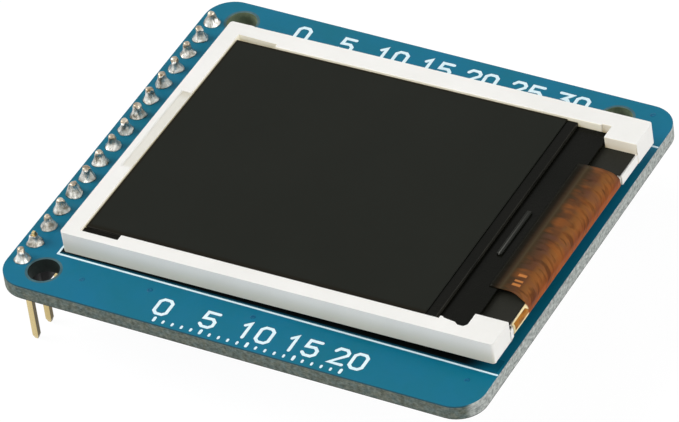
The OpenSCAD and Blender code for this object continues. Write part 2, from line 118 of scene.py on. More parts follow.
def node_points(name):
    """The node's distinct points in millimetres."""
    mesh = nodes[name].data
    flat = np.empty(len(mesh.vertices) * 3, np.float32)
    mesh.vertices.foreach_get("co", flat)
    return np.unique((flat.reshape(-1, 3) / MM).round(4), axis=0).astype(float)


def box_axes(points):
    """Rows u, v, w: the edge directions of a box, longest first, each pointing along +X, +Y or +Z."""
    axes = np.linalg.svd(points - points.mean(0))[2]
    return np.array([a * np.sign(a[i]) for i, a in enumerate(axes)])


# Display-local sizes: the frame's walls and width, the play round the panel, the heights of its layers.
WALL_LEFT, WALL_FRONT, WALL_BACK, FRAME_WIDTH, PLAY = 1.8, 1.7, 2.03, 34.0, 0.1
SHELF_Z, GLASS_Z, LEDGE_Z, FILTER_TOP, POL_TOP = 1.08, 1.20, 1.65, 2.10, 2.25
corners = node_points("front_polarizer")
display_axes = box_axes(corners)
local = corners @ display_axes.T
display_origin = (local.min(0) - [WALL_LEFT + PLAY, WALL_FRONT + PLAY, FILTER_TOP]) @ display_axes
lean = math.asin(display_axes[0, 2])
board_low, board_high = box_mm("circuit_board")
BOARD_TOP, BOARD_BOTTOM = board_high[2], board_low[2]
pin_boxes = [box_mm(f"header_pin_{n:02d}") for n in range(1, 17)]
pin_centres = np.array([(low + high) / 2 for low, high in pin_boxes])


def on_display(points):
    """Display-local millimetres to the model's millimetres."""
    return display_origin + np.asarray(points, float) @ display_axes


def as_placed(points):
    """Points that are already in the model's millimetres."""
    return np.asarray(points, float)


print("display origin", display_origin.round(3), "lean", round(math.degrees(lean), 3))

# %% [markdown]
# ## Outlines
# Nearly all of the pieces are plates with rounded rims: the board, the glass, the tape, a chip. Each starts
# as an outline, which is an array of points that runs counter-clockwise, so that "left" means inwards.

# %% Outlines
def offset_loop(loop, distance):
    """Each point moves left by the distance, along the mitre of its two edges: (n1 + n2) / (1 + n1.n2)."""
    ahead = np.roll(loop, -1, axis=0) - loop
    ahead /= np.linalg.norm(ahead, axis=1)[:, None]
    left = np.stack([-ahead[:, 1], ahead[:, 0]], 1)
    before = np.roll(left, 1, axis=0)
    mitre = (left + before) / (1 + (left * before).sum(1))[:, None]
    return loop + distance * mitre


def rounded_rectangle(low, high, radius, steps=8):
    """Counter-clockwise outline: four quarter circles joined by straight edges."""
    angle = np.linspace(0, math.pi / 2, steps + 1)
    arc = np.stack([np.cos(angle), np.sin(angle)], 1) * radius
    turn = np.array([[0, -1], [1, 0]])
    centres = [(high[0] - radius, high[1] - radius), (low[0] + radius, high[1] - radius),
               (low[0] + radius, low[1] + radius), (high[0] - radius, low[1] + radius)]
    arcs = []
    for centre in centres:
        arcs.append(arc + centre)
        arc = arc @ turn.T
    return np.concatenate(arcs)


def circle(centre, radius, steps=48):
    """Counter-clockwise ring of points: centre plus radius times (cos, sin)."""
    angle = np.linspace(0, 2 * math.pi, steps, endpoint=False)
    return np.stack([np.cos(angle), np.sin(angle)], 1) * radius + centre


print("a rounded rectangle has", len(rounded_rectangle((0, 0), (4, 2), 0.5)), "points")

# %% [markdown]
# ## Faces
# Neighbouring rings are joined by quads, whose point numbers come from one index grid. A flat face with
# holes is filled by a constrained Delaunay triangulation, which keeps each given edge. It fills the holes
# too, so the triangles whose middle lies in a hole are dropped afterwards.

# %% Quads between rings, and filled outlines
def ring_faces(rings, count):
    """Quads between neighbouring closed rings: point j of ring i joins to j + 1 and to the ring above."""
    i, j = np.meshgrid(np.arange(rings - 1), np.arange(count), indexing="ij")
    a, b = i * count + j, i * count + (j + 1) % count
    return np.stack([a, b, b + count, a + count], -1).reshape(-1, 4)


def inside(points, loops):
    """Even-odd rule: a point is inside when a ray along +X crosses the loops an odd number of times."""
    crossings = np.zeros(len(points), int)
    for loop in loops:
        p, q = loop, np.roll(loop, -1, axis=0)
        x, y = points[:, :1], points[:, 1:]
        rise = np.where(q[:, 1] == p[:, 1], 1e-12, q[:, 1] - p[:, 1])
        reach = p[:, 0] + (y - p[:, 1]) * (q[:, 0] - p[:, 0]) / rise
        crossings += (((p[:, 1] > y) != (q[:, 1] > y)) & (x < reach)).sum(1)
    return crossings % 2 == 1


def fill(loops, guides=()):
    """Points and triangles between an outline and its holes. Guides are rings that the edges must follow."""
    rings = list(loops) + list(guides)
    points = np.concatenate(rings)
    starts = np.cumsum([0] + [len(r) for r in rings])
    edges = [(s + i, s + (i + 1) % len(r)) for s, r in zip(starts, rings) for i in range(len(r))]
    made = delaunay_2d_cdt([tuple(p) for p in points], edges, [], 0, 1e-7)
    spots = np.array([tuple(v) for v in made[0]])
    triangles = np.array([tuple(f) for f in made[2]])
    keep = inside(spots[triangles].mean(1), loops)
    a, b, c = (spots[triangles[:, k]] for k in range(3))
    area = (b - a)[:, 0] * (c - a)[:, 1] - (b - a)[:, 1] * (c - a)[:, 0]
    triangles[area < 0] = triangles[area < 0][:, ::-1]
    return spots, triangles[keep & (np.abs(area) > 1e-9)]


square, hole = rounded_rectangle((-2, -2), (2, 2), 0.5, 2), circle((0, 0), 1.0, 12)[::-1]
print("a square with a round hole is filled by", len(fill([square, hole])[1]), "triangles")

# %% [markdown]
# ## Plates
# A plate's rim is its outline repeated as a stack of rings. Each ring is moved in a little as it nears a
# face, and the two end rings are filled. A chunk is what a piece is built from: points, faces, whether
# they shade smoothly, and the number of their finish.

# %% Plates
def plate(outline, low, high, rim=0.0, holes=(), steps=3, finishes=(0, 0, 0, 0), guides=(), paint=None):
    """Chunks of a plate between two heights. The rim is a quarter circle of radius r at angle a:
    inset = r (1 - sin a), rise = r (1 - cos a). Finishes number the underside, the wall, the top and the
    walls of holes; paint(points) may choose the finish of each flat face by its place instead."""
    angle = np.linspace(0, math.pi / 2, steps + 1) if rim > 0 else np.array([math.pi / 2])
    inset, rise = rim * (1 - np.sin(angle)), rim * (1 - np.cos(angle))
    insets = np.concatenate([inset, inset[::-1]])
    heights = np.concatenate([low + rise, high - rise[::-1]])
    loops = [np.asarray(outline, float)] + [np.asarray(h, float)[::-1] for h in holes]
    chunks = []
    for n, loop in enumerate(loops):
        rings = [np.column_stack([offset_loop(loop, d), np.full(len(loop), z)])
                 for d, z in zip(insets, heights)]
        wall = finishes[3] if n else finishes[1]
        chunks.append((np.concatenate(rings), ring_faces(len(rings), len(loop)), rim > 0, wall))
    spots, triangles = fill([offset_loop(loop, insets[0]) for loop in loops], guides)
    for z, faces, look in ((low, triangles[:, ::-1], finishes[0]), (high, triangles, finishes[2])):
        looks_of_faces = np.full(len(faces), look) if paint is None else paint(spots[faces].mean(1))
        for chosen in np.unique(looks_of_faces):
            flat = np.column_stack([spots, np.full(len(spots), z)])
            chunks.append((flat, faces[looks_of_faces == chosen], False, int(chosen)))
    return chunks


print("a plate with a hole is", len(plate(square, 0, 1, 0.1, [hole[::-1]])), "chunks: two walls and two faces")

# %% [markdown]
# ## Finished pieces
# A finished piece is one object at the origin, with its place in its mesh, like the CAD nodes. Points that
# two chunks share are merged, so that each piece is one closed skin.

# %% Making a piece from arrays
WELD = 0.0005


def weld(work):
    """Merges points that lie on each other."""
    bmesh.ops.remove_doubles(work, verts=work.verts, dist=WELD * MM)


def hand_over(made, replaces):
    """Every piece here moves with the one body."""
    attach(made, "root")
    if replaces:
        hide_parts(*replaces)
    return made


def piece(name, chunks, finishes, place=as_placed, replaces=()):
    """Chunks are (points, faces, smooth, number of the finish), and may have a map of two values a point."""
    starts = np.cumsum([0] + [len(c[0]) for c in chunks])
    points = place(np.concatenate([c[0] for c in chunks])) * MM
    faces = [f for s, c in zip(starts, chunks) for f in (np.asarray(c[1]) + s).tolist()]
    mesh = bpy.data.meshes.new(name)
    mesh.from_pydata(points.tolist(), [], faces)
    for key, column, kind in (("use_smooth", 2, bool), ("material_index", 3, np.int32)):
        mesh.polygons.foreach_set(key, np.concatenate([np.full(len(c[1]), c[column], kind) for c in chunks]))
    if len(chunks[0]) > 4:
        uv = np.concatenate([c[4] for c in chunks])
        index = np.empty(len(mesh.loops), np.int32)
        mesh.loops.foreach_get("vertex_index", index)
        mesh.uv_layers.new(name="surface").data.foreach_set("uv", uv[index].ravel().astype(np.float32))
    work = bmesh.new()
    work.from_mesh(mesh)
    weld(work)
    work.to_mesh(mesh)
    work.free()
    for look in finishes:
        mesh.materials.append(look)
    mesh.update()
    return hand_over(in_scene(name, mesh), replaces)


print("points closer than", WELD, "mm are merged")

# %% [markdown]
# ## Materials
# Each material is a few nodes round one Principled shader. These helpers keep them readable: "feed" gives
# sockets a value or a link, "add" makes a node, and "calc", "chain" and "times" are sums of values.

# %% Nodes and sums
def linear(r, g, b):
    """Screen values (0 to 255) to the linear ones that shaders use: ((c + 0.055) / 1.055) to the power 2.4."""
    c = np.array([r, g, b]) / 255
    return (*np.where(c <= 0.04045, c / 12.92, ((c + 0.055) / 1.055) ** 2.4).tolist(), 1.0)


def feed(tree, node, sockets):
    """Gives each named socket a value, or a link where the value is another node's socket."""
    for key, value in sockets.items():
        if isinstance(value, bpy.types.NodeSocket):
            tree.links.new(value, node.inputs[key])
        else:
            node.inputs[key].default_value = value
    return node


def add(tree, kind, sockets=None, **settings):
    """Adds a node with its settings and its sockets."""
    node = tree.nodes.new("ShaderNode" + kind)
    for key, value in settings.items():
        setattr(node, key, value)
    return feed(tree, node, sockets or {})


def calc(tree, operation, *values):
    """A Math node."""
    return add(tree, "Math", dict(enumerate(values)), operation=operation).outputs[0]


def chain(tree, operation, first, *others):
    """Math nodes in a row: (first with second) with third, and so on."""
    for other in others:
        first = calc(tree, operation, first, other)
    return first


def times(tree, *values):
    """The product of masks: all of them together."""
    return chain(tree, "MULTIPLY", *values)


print("a mid grey of 128 is", round(linear(128, 128, 128)[0], 3), "in linear values")

# %% [markdown]
# A mask is a value from 0 to 1 that says where a colour goes. Most are made from a place on the piece and a
# soft step: 0 on one side of a line, 1 on the other. Places are Object coordinates, which every piece has,
# turned into millimetres so that the numbers read like those of the shapes.

# %% Masks, clouds and places
def step_up(tree, value, low, high):
    """0 below low, 1 above high, and a smooth rise between."""
    sockets = {"Value": value, "From Min": low, "From Max": high}
    return add(tree, "MapRange", sockets, interpolation_type="SMOOTHSTEP").outputs[0]


def step_down(tree, value, low, high):
    """1 below low, 0 above high."""
    return calc(tree, "SUBTRACT", 1.0, step_up(tree, value, low, high))


def remap(tree, value, to_low, to_high, low=0.0, high=1.0):
    """The range from low to high stretched to another range, and cut off at its ends."""
    sockets = {"Value": value, "From Min": low, "From Max": high, "To Min": to_low, "To Max": to_high}
    return add(tree, "MapRange", sockets).outputs[0]


def mix(tree, factor, first, second, kind="MIX"):
    """Mixes two colours."""
    return add(tree, "MixRGB", {"Fac": factor, "Color1": first, "Color2": second}, blend_type=kind).outputs[0]


def noise(tree, place, scale, detail=2.0, roughness=0.5):
    """Cloudy noise, mostly between 0.3 and 0.7."""
    sockets = {"Vector": place, "Scale": scale, "Detail": detail, "Roughness": roughness}
    return add(tree, "TexNoise", sockets).outputs["Fac"]


def object_coordinates(tree):
    """The place on the piece, in metres."""
    return add(tree, "TexCoord").outputs["Object"]


def coordinates_mm(tree):
    """The place on the piece, in millimetres."""
    return add(tree, "VectorMath", {0: object_coordinates(tree), 3: 1 / MM}, operation="SCALE").outputs[0]


def place_mm(tree):
    """The same place as three values, along x, y and z."""
    return add(tree, "SeparateXYZ", {0: coordinates_mm(tree)}).outputs[:3]


def bump(tree, height, depth):
    """A relief as deep as the given millimetres."""
    return add(tree, "Bump", {"Height": height, "Distance": depth * MM}).outputs[0]


print("node helpers:", [f.__name__ for f in (step_up, step_down, remap, mix, noise, place_mm, bump)])

# %% [markdown]
# ### Two effects that most materials share
# No moulded or printed surface is one flat colour, so the group "drift" makes a slow change between two
# colours. A surface that is bumpy up close also shines unevenly, so the group "grain" gives a fine height
# and a roughness that changes with it. Each group is made once and placed in each material.

# %% Groups: drift and grain
def new_group(name, wanted, given):
    """A node group with inputs (name, type, value) and outputs (name, type): its tree and its two end nodes."""
    tree = bpy.data.node_groups.new(name, "ShaderNodeTree")
    for label, kind, value in wanted:
        socket = tree.interface.new_socket(label, in_out="INPUT", socket_type="NodeSocket" + kind)
        socket.default_value = value
    for label, kind in given:
        tree.interface.new_socket(label, in_out="OUTPUT", socket_type="NodeSocket" + kind)
    return tree, tree.nodes.new("NodeGroupInput").outputs, tree.nodes.new("NodeGroupOutput")


BROAD_SCALE = 160.0
drift, take, give = new_group(
    "drift",
    [("Scale", "Float", 100.0), ("Stretch", "Vector", (1, 1, 1)),
     ("Low", "Color", (0, 0, 0, 1)), ("High", "Color", (1, 1, 1, 1))],
    [("Color", "Color"), ("Mask", "Float")])
stretch = {0: object_coordinates(drift), 1: take["Stretch"]}
stretched = add(drift, "VectorMath", stretch, operation="MULTIPLY").outputs[0]
spread = remap(drift, noise(drift, stretched, take["Scale"], 5.0, 0.6), 0.0, 1.0, 0.32, 0.68)
feed(drift, give, {"Color": mix(drift, spread, take["Low"], take["High"]), "Mask": spread})

grain, take, give = new_group(
    "grain",
    [("Scale", "Float", 2000.0), ("Smooth", "Float", 0.3), ("Rough", "Float", 0.5)],
    [("Height", "Float"), ("Roughness", "Float")])
where = object_coordinates(grain)
fine = noise(grain, where, take["Scale"], 3.0, 0.55)
both = calc(grain, "ADD", fine, noise(grain, where, BROAD_SCALE))
feed(grain, give, {"Height": fine, "Roughness": remap(grain, both, take["Smooth"], take["Rough"], 0.75, 1.25)})
print("groups:", [g.name for g in bpy.data.node_groups])

# %% [markdown]
# ### Plain finishes
# Plastics, inks, tapes and metals differ only in numbers: their two colours, how fine and deep the grain
# is, and how shiny and how metallic they are. So one function makes them all, from rows of numbers. The
# plastics and tapes here are matt and nearly flat in colour.

# %% Plastics, tapes and ink
looks = {}


def new_material(name):
    """A material, its tree and its Principled shader."""
    material = bpy.data.materials.new(name)
    material.use_nodes = True
    return material, material.node_tree, material.node_tree.nodes["Principled BSDF"]


def clouds(tree, scale, low, high, stretch=(1, 1, 1)):
    """The drift group, with its own scale and colours."""
    sockets = {"Scale": scale, "Stretch": stretch, "Low": (*low, 1), "High": (*high, 1)}
    return add(tree, "Group", sockets, node_tree=drift).outputs


def finish(name, low, high, smooth, rough, depth=0.02, drift_scale=120.0, grain_scale=2500.0,
           specular=0.5, metallic=0.0, stretch=(1, 1, 1)):
    """A drift of two colours and a grain of a depth in millimetres. The last three shape shine and pattern."""
    material, tree, shader = new_material(name)
    colour = clouds(tree, drift_scale, low, high, stretch)["Color"]
    sockets = {"Scale": grain_scale, "Smooth": smooth, "Rough": rough}
    skin = add(tree, "Group", sockets, node_tree=grain).outputs
    feed(tree, shader, {
        "Base Color": colour, "Roughness": skin["Roughness"], "Normal": bump(tree, skin["Height"], depth),
        "Specular IOR Level": specular, "Metallic": metallic})
    return material


def make_finishes(rows):
    for name, row in rows.items():
        looks[name] = finish(name, *row)
    print("finishes:", ", ".join(rows))


make_finishes({
    "white_plastic": ((0.80, 0.79, 0.755), (0.86, 0.85, 0.82), 0.38, 0.5, 0.006, 90, 3500),
    "black_moulding": ((0.0022, 0.0023, 0.0022), (0.0052, 0.0054, 0.0052), 0.42, 0.58, 0.012, 200, 5000, 0.1),
    "black_tape": ((0.0085, 0.0088, 0.006), (0.014, 0.0138, 0.0095), 0.45, 0.6, 0.01, 150, 3000, 0.12),
    "black_film_and_shade": ((0.0012, 0.0022, 0.0022), (0.0030, 0.0050, 0.0050), 0.5, 0.7, 0.004, 200, 2500, 0.05),
    "corner_tape_black": (
        (0.0024, 0.0020, 0.0010), (0.0055, 0.0048, 0.0026), 0.4, 0.55, 0.004, 300, 2500, 0.05),
    "foam_tape": ((0.018, 0.018, 0.018), (0.04, 0.04, 0.04), 0.8, 0.95, 0.08, 600, 1800),
    "silkscreen_ink": ((0.64, 0.82, 0.88), (0.76, 0.90, 0.94), 0.5, 0.65, 0.004, 900, 4000),
})

# %% [markdown]
# ### Metals
# Metal takes its look from what it reflects, so its roughness matters most. Gold plate on a pin is smooth,
# and a much darker copy of it paints shade on two opposite sides of the pin. Solder is lumpy, with dull
# and bright patches, so its two colours lie far apart and its grain is coarse and deep. Steel was rolled,
# so its pattern is drawn out along one axis.

# %% Metals
make_finishes({
    "solder": ((0.17, 0.155, 0.12), (0.86, 0.86, 0.82), 0.2, 0.4, 0.09, 1200, 700, 0.5, 0.9),
    "tinned_pin": ((0.15, 0.105, 0.055), (0.62, 0.55, 0.45), 0.25, 0.45, 0.05, 1300, 900, 0.5, 0.85),
    "tinned_copper": ((0.55, 0.55, 0.52), (0.78, 0.78, 0.75), 0.22, 0.4, 0.02, 700, 2000, 0.5, 1.0),
    "gold_plate": ((0.56, 0.44, 0.20), (0.68, 0.56, 0.30), 0.24, 0.34, 0.002, 300, 3000, 0.5, 1.0, (1, 1, 0.2)),
    "gold_plate_shaded": (
        (0.08, 0.06, 0.022), (0.15, 0.115, 0.05), 0.3, 0.42, 0.002, 400, 3000, 0.5, 0.8, (1, 1, 0.2)),
    "socket_steel": (
        (0.52, 0.52, 0.50), (0.66, 0.66, 0.63), 0.22, 0.36, 0.004, 260, 3000, 0.5, 1.0, (1, 12, 12)),
})

# %% [markdown]
# ### Glass, films and small parts
# The panel is switched off, so its glass and its polarizing film are nearly black, and a low specular
# level keeps the white surroundings from greying them. The cut edges of the glass are rougher and browner.
# The films behind the panel are hidden. Small parts are ceramic, glazed or moulded.

# %% Glass, films and small parts
make_finishes({
    "panel_glass": ((0.0030, 0.0033, 0.0020), (0.0048, 0.0048, 0.0034), 0.22, 0.3, 0.001, 200, 2500, 0.055),
    "cut_glass_edge": (
        (0.007, 0.007, 0.0055), (0.024, 0.023, 0.018), 0.25, 0.45, 0.02, 420, 2500, 0.1, 0.0, (0.5, 0.5, 3)),
    "polarizer_film": (
        (0.0080, 0.0092, 0.0062), (0.0098, 0.0110, 0.0078), 0.32, 0.38, 0.0015, 60, 6000, 0.068),
    "ground_silicon": (
        (0.011, 0.011, 0.010), (0.016, 0.016, 0.014), 0.3, 0.4, 0.003, 900, 4000, 0.1, 0.0, (1, 8, 1)),
    "rear_polarizer_film": ((0.03, 0.031, 0.028), (0.045, 0.046, 0.042), 0.3, 0.4, 0.002),
    "mirror_film": ((0.72, 0.73, 0.74), (0.85, 0.86, 0.87), 0.08, 0.16, 0.002, 200, 1500, 0.5, 1.0),
    "diffuser_film": ((0.80, 0.80, 0.80), (0.86, 0.86, 0.86), 0.6, 0.75, 0.004, 100, 5000),
    "diode_case": ((0.78, 0.77, 0.70), (0.86, 0.85, 0.78), 0.35, 0.5, 0.004),
    "capacitor_ceramic": ((0.24, 0.155, 0.08), (0.34, 0.23, 0.13), 0.5, 0.66, 0.015, 900, 3500),
    "resistor_glaze": ((0.012, 0.012, 0.014), (0.024, 0.024, 0.027), 0.22, 0.34, 0.004, 600, 3000),
    "resistor_alumina": ((0.68, 0.67, 0.63), (0.78, 0.77, 0.73), 0.5, 0.65, 0.008, 700, 3000),
})

# %% [markdown]
# ### Clear and ribbed films
# The light guide is clear acrylic, so it transmits light. A prism film has fine straight ribs: a wave
# of saw teeth along one axis gives their height to the Bump node. Both are hidden inside the display.

# %% Light guide and prism film
make_finishes({
    "clear_acrylic": ((0.86, 0.90, 0.90), (0.92, 0.94, 0.94), 0.03, 0.08, 0.001),
    "prism_film": ((0.62, 0.64, 0.66), (0.74, 0.76, 0.77), 0.2, 0.3, 0.002),
})
tree = looks["clear_acrylic"].node_tree
feed(tree, tree.nodes["Principled BSDF"], {"Transmission Weight": 1.0, "IOR": 1.49})
tree = looks["prism_film"].node_tree
saw = {"Vector": object_coordinates(tree), "Scale": 3000.0}
ribs = add(tree, "TexWave", saw, wave_profile="SAW").outputs["Fac"]
feed(tree, tree.nodes["Bump"], {"Height": ribs})

# %% [markdown]
# ### Solder mask
# The board's blue is a thin lacquer over glass cloth and copper. Up close the cloth's weave shows as a
# faint grid, so two waves at right angles are multiplied and added to the grain's height. The colour
# drifts a little. Where the lacquer lies over copper tracks it is deeper and shinier, and over the rough
# rims of vias it is mottled.

# %% Solder mask
make_finishes({
    "solder_mask": ((0.0034, 0.138, 0.206), (0.0052, 0.146, 0.254), 0.3, 0.42, 0.003, 140, 2500, 0.13),
    "solder_mask_over_copper": (
        (0.0055, 0.105, 0.19), (0.0075, 0.125, 0.22), 0.26, 0.36, 0.003, 300, 2500, 0.22),
    "via_mask": ((0.004, 0.075, 0.17), (0.005, 0.14, 0.235), 0.25, 0.35, 0.01, 2600, 2500, 0.15),
})
THREAD_SCALE, CLOTH_SHARE = 700.0, 0.5
tree = looks["solder_mask"].node_tree
threads = {"Vector": object_coordinates(tree), "Scale": THREAD_SCALE, "Distortion": 0.6}
warp, weft = (add(tree, "TexWave", threads, bands_direction=way).outputs["Fac"] for way in "XY")
height = tree.nodes["Bump"].inputs["Height"]
relief = calc(tree, "MULTIPLY_ADD", times(tree, warp, weft), CLOTH_SHARE, height.links[0].from_socket)
tree.links.new(relief, height)

# %% [markdown]
# ### Cut edge of the laminate
# A board is sheets of glass cloth in resin, so its cut edge is grey-green, with layers along it and pale
# and dark flecks where the router broke the fibres. Noise that is stretched along the board gives the
# flecks, and a wave up the thickness gives the layers. The right-hand edge is painted paler: painted
# light, where the right lamp falls on it. The lacquer runs a little way over the upper edge, and the
# lower one is darker: partly the edge of the underside's lacquer and partly painted shade.

# %% Laminate edge
RIGHT_EDGE_FROM, RIGHT_EDGE_FULL = 24.8, 25.3
LACQUER_RUN, DARK_FOOT_RUN, HARD_PART = 0.2, 0.14, 0.4
FIBRES = (0.8, 0.8, 1.0)
laminate, tree, shader = new_material("laminate_edge")
x, y, z = place_mm(tree)
routed = clouds(tree, 3000.0, (0.056, 0.078, 0.070), (0.168, 0.218, 0.205), FIBRES)
# Painted light: the right-hand edge is much paler, as if lit from the right.
lit_right_edge = clouds(tree, 2900.0, (0.19, 0.21, 0.20), (0.55, 0.58, 0.55), FIBRES)
rusty = clouds(tree, 1500.0, (0.98, 1.0, 1.02), (1.25, 1.02, 0.85))
browned = mix(tree, 1.0, routed["Color"], rusty["Color"], "MULTIPLY")
toned = mix(tree, step_up(tree, x, RIGHT_EDGE_FROM, RIGHT_EDGE_FULL), browned, lit_right_edge["Color"])
sheets = {"Vector": object_coordinates(tree), "Scale": 1300.0, "Distortion": 1.5, "Detail": 2.0}
layers = add(tree, "TexWave", sheets, bands_direction="Z").outputs["Fac"]
layered = add(tree, "VectorMath", {0: toned, 3: remap(tree, layers, 0.92, 1.04)}, operation="SCALE").outputs[0]
near_top = step_up(tree, z, BOARD_TOP - LACQUER_RUN, BOARD_TOP - LACQUER_RUN * HARD_PART)
run_over = times(tree, near_top, step_down(tree, x, RIGHT_EDGE_FROM, RIGHT_EDGE_FULL))
lacquered = mix(tree, run_over, layered, (0.012, 0.075, 0.105, 1))
# Painted shade, partly with the underside's lacquer edge: a darker line along the edge's foot.
above_dark_foot = step_up(tree, z, BOARD_BOTTOM + DARK_FOOT_RUN * HARD_PART, BOARD_BOTTOM + DARK_FOOT_RUN)
feed(tree, shader, {
    "Base Color": mix(tree, above_dark_foot, (0.045, 0.055, 0.05, 1), lacquered), "Roughness": 0.75,
    "Specular IOR Level": 0.2, "Normal": bump(tree, routed["Mask"], 0.03)})
looks["laminate_edge"] = laminate
print("the board's edge is", round(BOARD_TOP - BOARD_BOTTOM, 2), "mm thick")

# %% [markdown]
# ### Bare laminate and drilled holes
# Round a mounting hole the bare laminate shows, blue-green. The wall of a drilled hole is in its own
# shade, so it is dark; in the hole at the back, light falls on the far wall and shows it olive. The wall's
# colour therefore changes with its place, from the front of the board to the back.

# %% Bare laminate and hole walls
OLIVE_FROM, OLIVE_FULL = 0.0, 15.0


def base_colour(material):
    """A material's tree, its Base Color socket, and the colour that feeds it now."""
    socket = material.node_tree.nodes["Principled BSDF"].inputs["Base Color"]
    return material.node_tree, socket, socket.links[0].from_socket


make_finishes({
    "bare_laminate": ((0.035, 0.095, 0.115), (0.075, 0.15, 0.17), 0.45, 0.6, 0.01, 900, 2500, 0.15),
    "drilled_hole_wall": ((0.006, 0.010, 0.009), (0.014, 0.021, 0.019), 0.5, 0.65, 0.01, 900, 2500, 0.1),
})
tree, socket, dark_wall = base_colour(looks["drilled_hole_wall"])
far_back = step_up(tree, place_mm(tree)[1], OLIVE_FROM, OLIVE_FULL)
olive = clouds(tree, 900.0, (0.07, 0.10, 0.06), (0.17, 0.21, 0.13))["Color"]
tree.links.new(mix(tree, far_back, dark_wall, olive), socket)

# %% [markdown]
# ### Amber cable film
# The cable is copper tracks between two amber films. Its pattern has to bend with it, so it reads the
# piece's own map: the first value runs along the cable and the second across it, both in millimetres.
# A ramp along the cable gives the dark bonded strip and the brown top; the bright bend and the pale rim
# where it turns under are painted highlights, and the darker stretch past the fold is painted shade.

# %% Cable film: bands along it
BOND_END, CABLE_LENGTH = 1.15, 14.0
# Painted highlight: the brightening stops over the bend, up to 5.34 mm; painted shade: the dark stops from 5.46
# mm on.
CABLE_BANDS = [
    (0.0, (12, 12, 5)), (0.25, (14, 12, 4)), (0.55, (22, 16, 6)), (0.85, (50, 37, 24)), (1.15, (67, 57, 40)),
    (1.3, (60, 48, 30)), (1.45, (56, 44, 27)), (2.03, (75, 52, 34)), (2.8, (94, 59, 35)), (3.29, (124, 79, 40)),
    (3.95, (144, 90, 46)), (4.27, (144, 83, 39)), (4.54, (136, 68, 24)), (4.8, (142, 72, 20)),
    (5.10, (152, 74, 12)), (5.22, (160, 76, 12)), (5.34, (168, 92, 32)), (5.46, (84, 50, 28)),
    (5.8, (60, 38, 24)), (14.0, (118, 70, 32))]


def ramp(tree, value, stops):
    """A colour ramp with stops of (place from 0 to 1, screen colour)."""
    node = add(tree, "ValToRGB", {"Fac": value})
    node.color_ramp.interpolation = "LINEAR"
    elements = node.color_ramp.elements
    while len(elements) < len(stops):
        elements.new(0.5)
    for element, (place, colour) in zip(elements, stops):
        element.position, element.color = place, linear(*colour)
    return node.outputs[0]


cable_film, tree, shader = new_material("cable_film")
surface = add(tree, "UVMap", uv_map="surface").outputs[0]
along, across = add(tree, "SeparateXYZ", {0: surface}).outputs[:2]
share = calc(tree, "DIVIDE", along, CABLE_LENGTH)
film = ramp(tree, share, [(place / CABLE_LENGTH, colour) for place, colour in CABLE_BANDS])
print("bands along the cable:", len(CABLE_BANDS))

# %% [markdown]
# The tracks show through as soft streaks, from noise that is stretched along the cable. At the bend they
# sweep sideways, because a steep term in the first value, 1.3 (along / 4.6) to the power 4, is added to
# the second. The streaks fade out at the bonded strip and at the fold.

# %% Cable film: streaks
SWEEP, SWEEP_LENGTH, SWEEP_POWER, SWEEP_STOP, STREAK_STRETCH = 1.3, 4.6, 4.0, 5.0, 0.36
FADE_AT_FOLD, FOLD_FADE = (4.6, 5.1), 0.6
so_far = calc(tree, "DIVIDE", calc(tree, "MINIMUM", along, SWEEP_STOP), SWEEP_LENGTH)
swept = calc(tree, "ADD", across, times(tree, calc(tree, "POWER", so_far, SWEEP_POWER), SWEEP))
streak_place = add(tree, "CombineXYZ", {0: times(tree, along, STREAK_STRETCH), 1: swept}).outputs[0]
broad, narrow = noise(tree, streak_place, 0.75), noise(tree, streak_place, 1.5)
smudge = noise(tree, surface, 0.8, 4.0)
faded = calc(tree, "SUBTRACT", 1.0, times(tree, step_up(tree, along, *FADE_AT_FOLD), FOLD_FADE))
visible = times(tree, step_up(tree, along, BOND_END - 0.1, BOND_END + 1.0), faded)
# Each kind: its noise, where it starts and is full, its strength, and its colour.
STREAKS = [(narrow, 0.47, 0.66, 0.66, (52, 30, 22)), (broad, 0.5, 0.66, 0.5, (150, 88, 40)),
           (calc(tree, "SUBTRACT", 1.0, broad), 0.5, 0.66, 0.35, (92, 62, 56)),
           (smudge, 0.5, 0.72, 0.22, (98, 82, 58))]
for cloud, low, high, strength, colour in STREAKS:
    film = mix(tree, times(tree, step_up(tree, cloud, low, high), visible, strength), film, linear(*colour))
print("kinds of streak:", len(STREAKS))

# %% [markdown]
# At the front, past a shoulder, a tab of the cable has no tracks: it is a clearer yellow, and its rims
# are pale, partly the film's cut edge and partly painted highlight. Each rim is a step along or across
# the cable, and the corner's is a step along the diagonal. Where it turns under, the tab is painted
# darker, as shade. Three solder pads near the crest are small rectangles of a lighter brown.

# %% Cable film: tab, pads and shine
TAB_START, TAB_EDGE, FOLD_RIM, FRONT_RIM, FOLDED_UNDER = 4.20, 7.25, (5.08, 5.2), (4.50, 4.62), (5.5, 5.7)
PAD_STRENGTH, PAD_SOFT = 0.85, 0.06
# Each pad: its middle along and across the cable, and half its length and width.
PADS = [(2.35, 9.0, 0.42, 0.16), (2.35, 9.55, 0.42, 0.12), (2.35, 10.35, 0.42, 0.16)]
to_corner = calc(tree, "SUBTRACT", calc(tree, "ADD", along, TAB_EDGE), across)
# Painted highlight, with the film's own cut edge: pale rims round the tab.
rim = chain(
    tree, "MAXIMUM",
    step_down(tree, along, TAB_START + 0.10, TAB_START + 0.18), step_up(tree, along, *FOLD_RIM),
    step_down(tree, across, *FRONT_RIM), step_down(tree, to_corner, TAB_START + 0.42, TAB_START + 0.58))
tab = mix(tree, step_up(tree, smudge, 0.42, 0.58), linear(124, 72, 20), linear(172, 112, 40))
tab = mix(tree, rim, tab, linear(250, 232, 182))
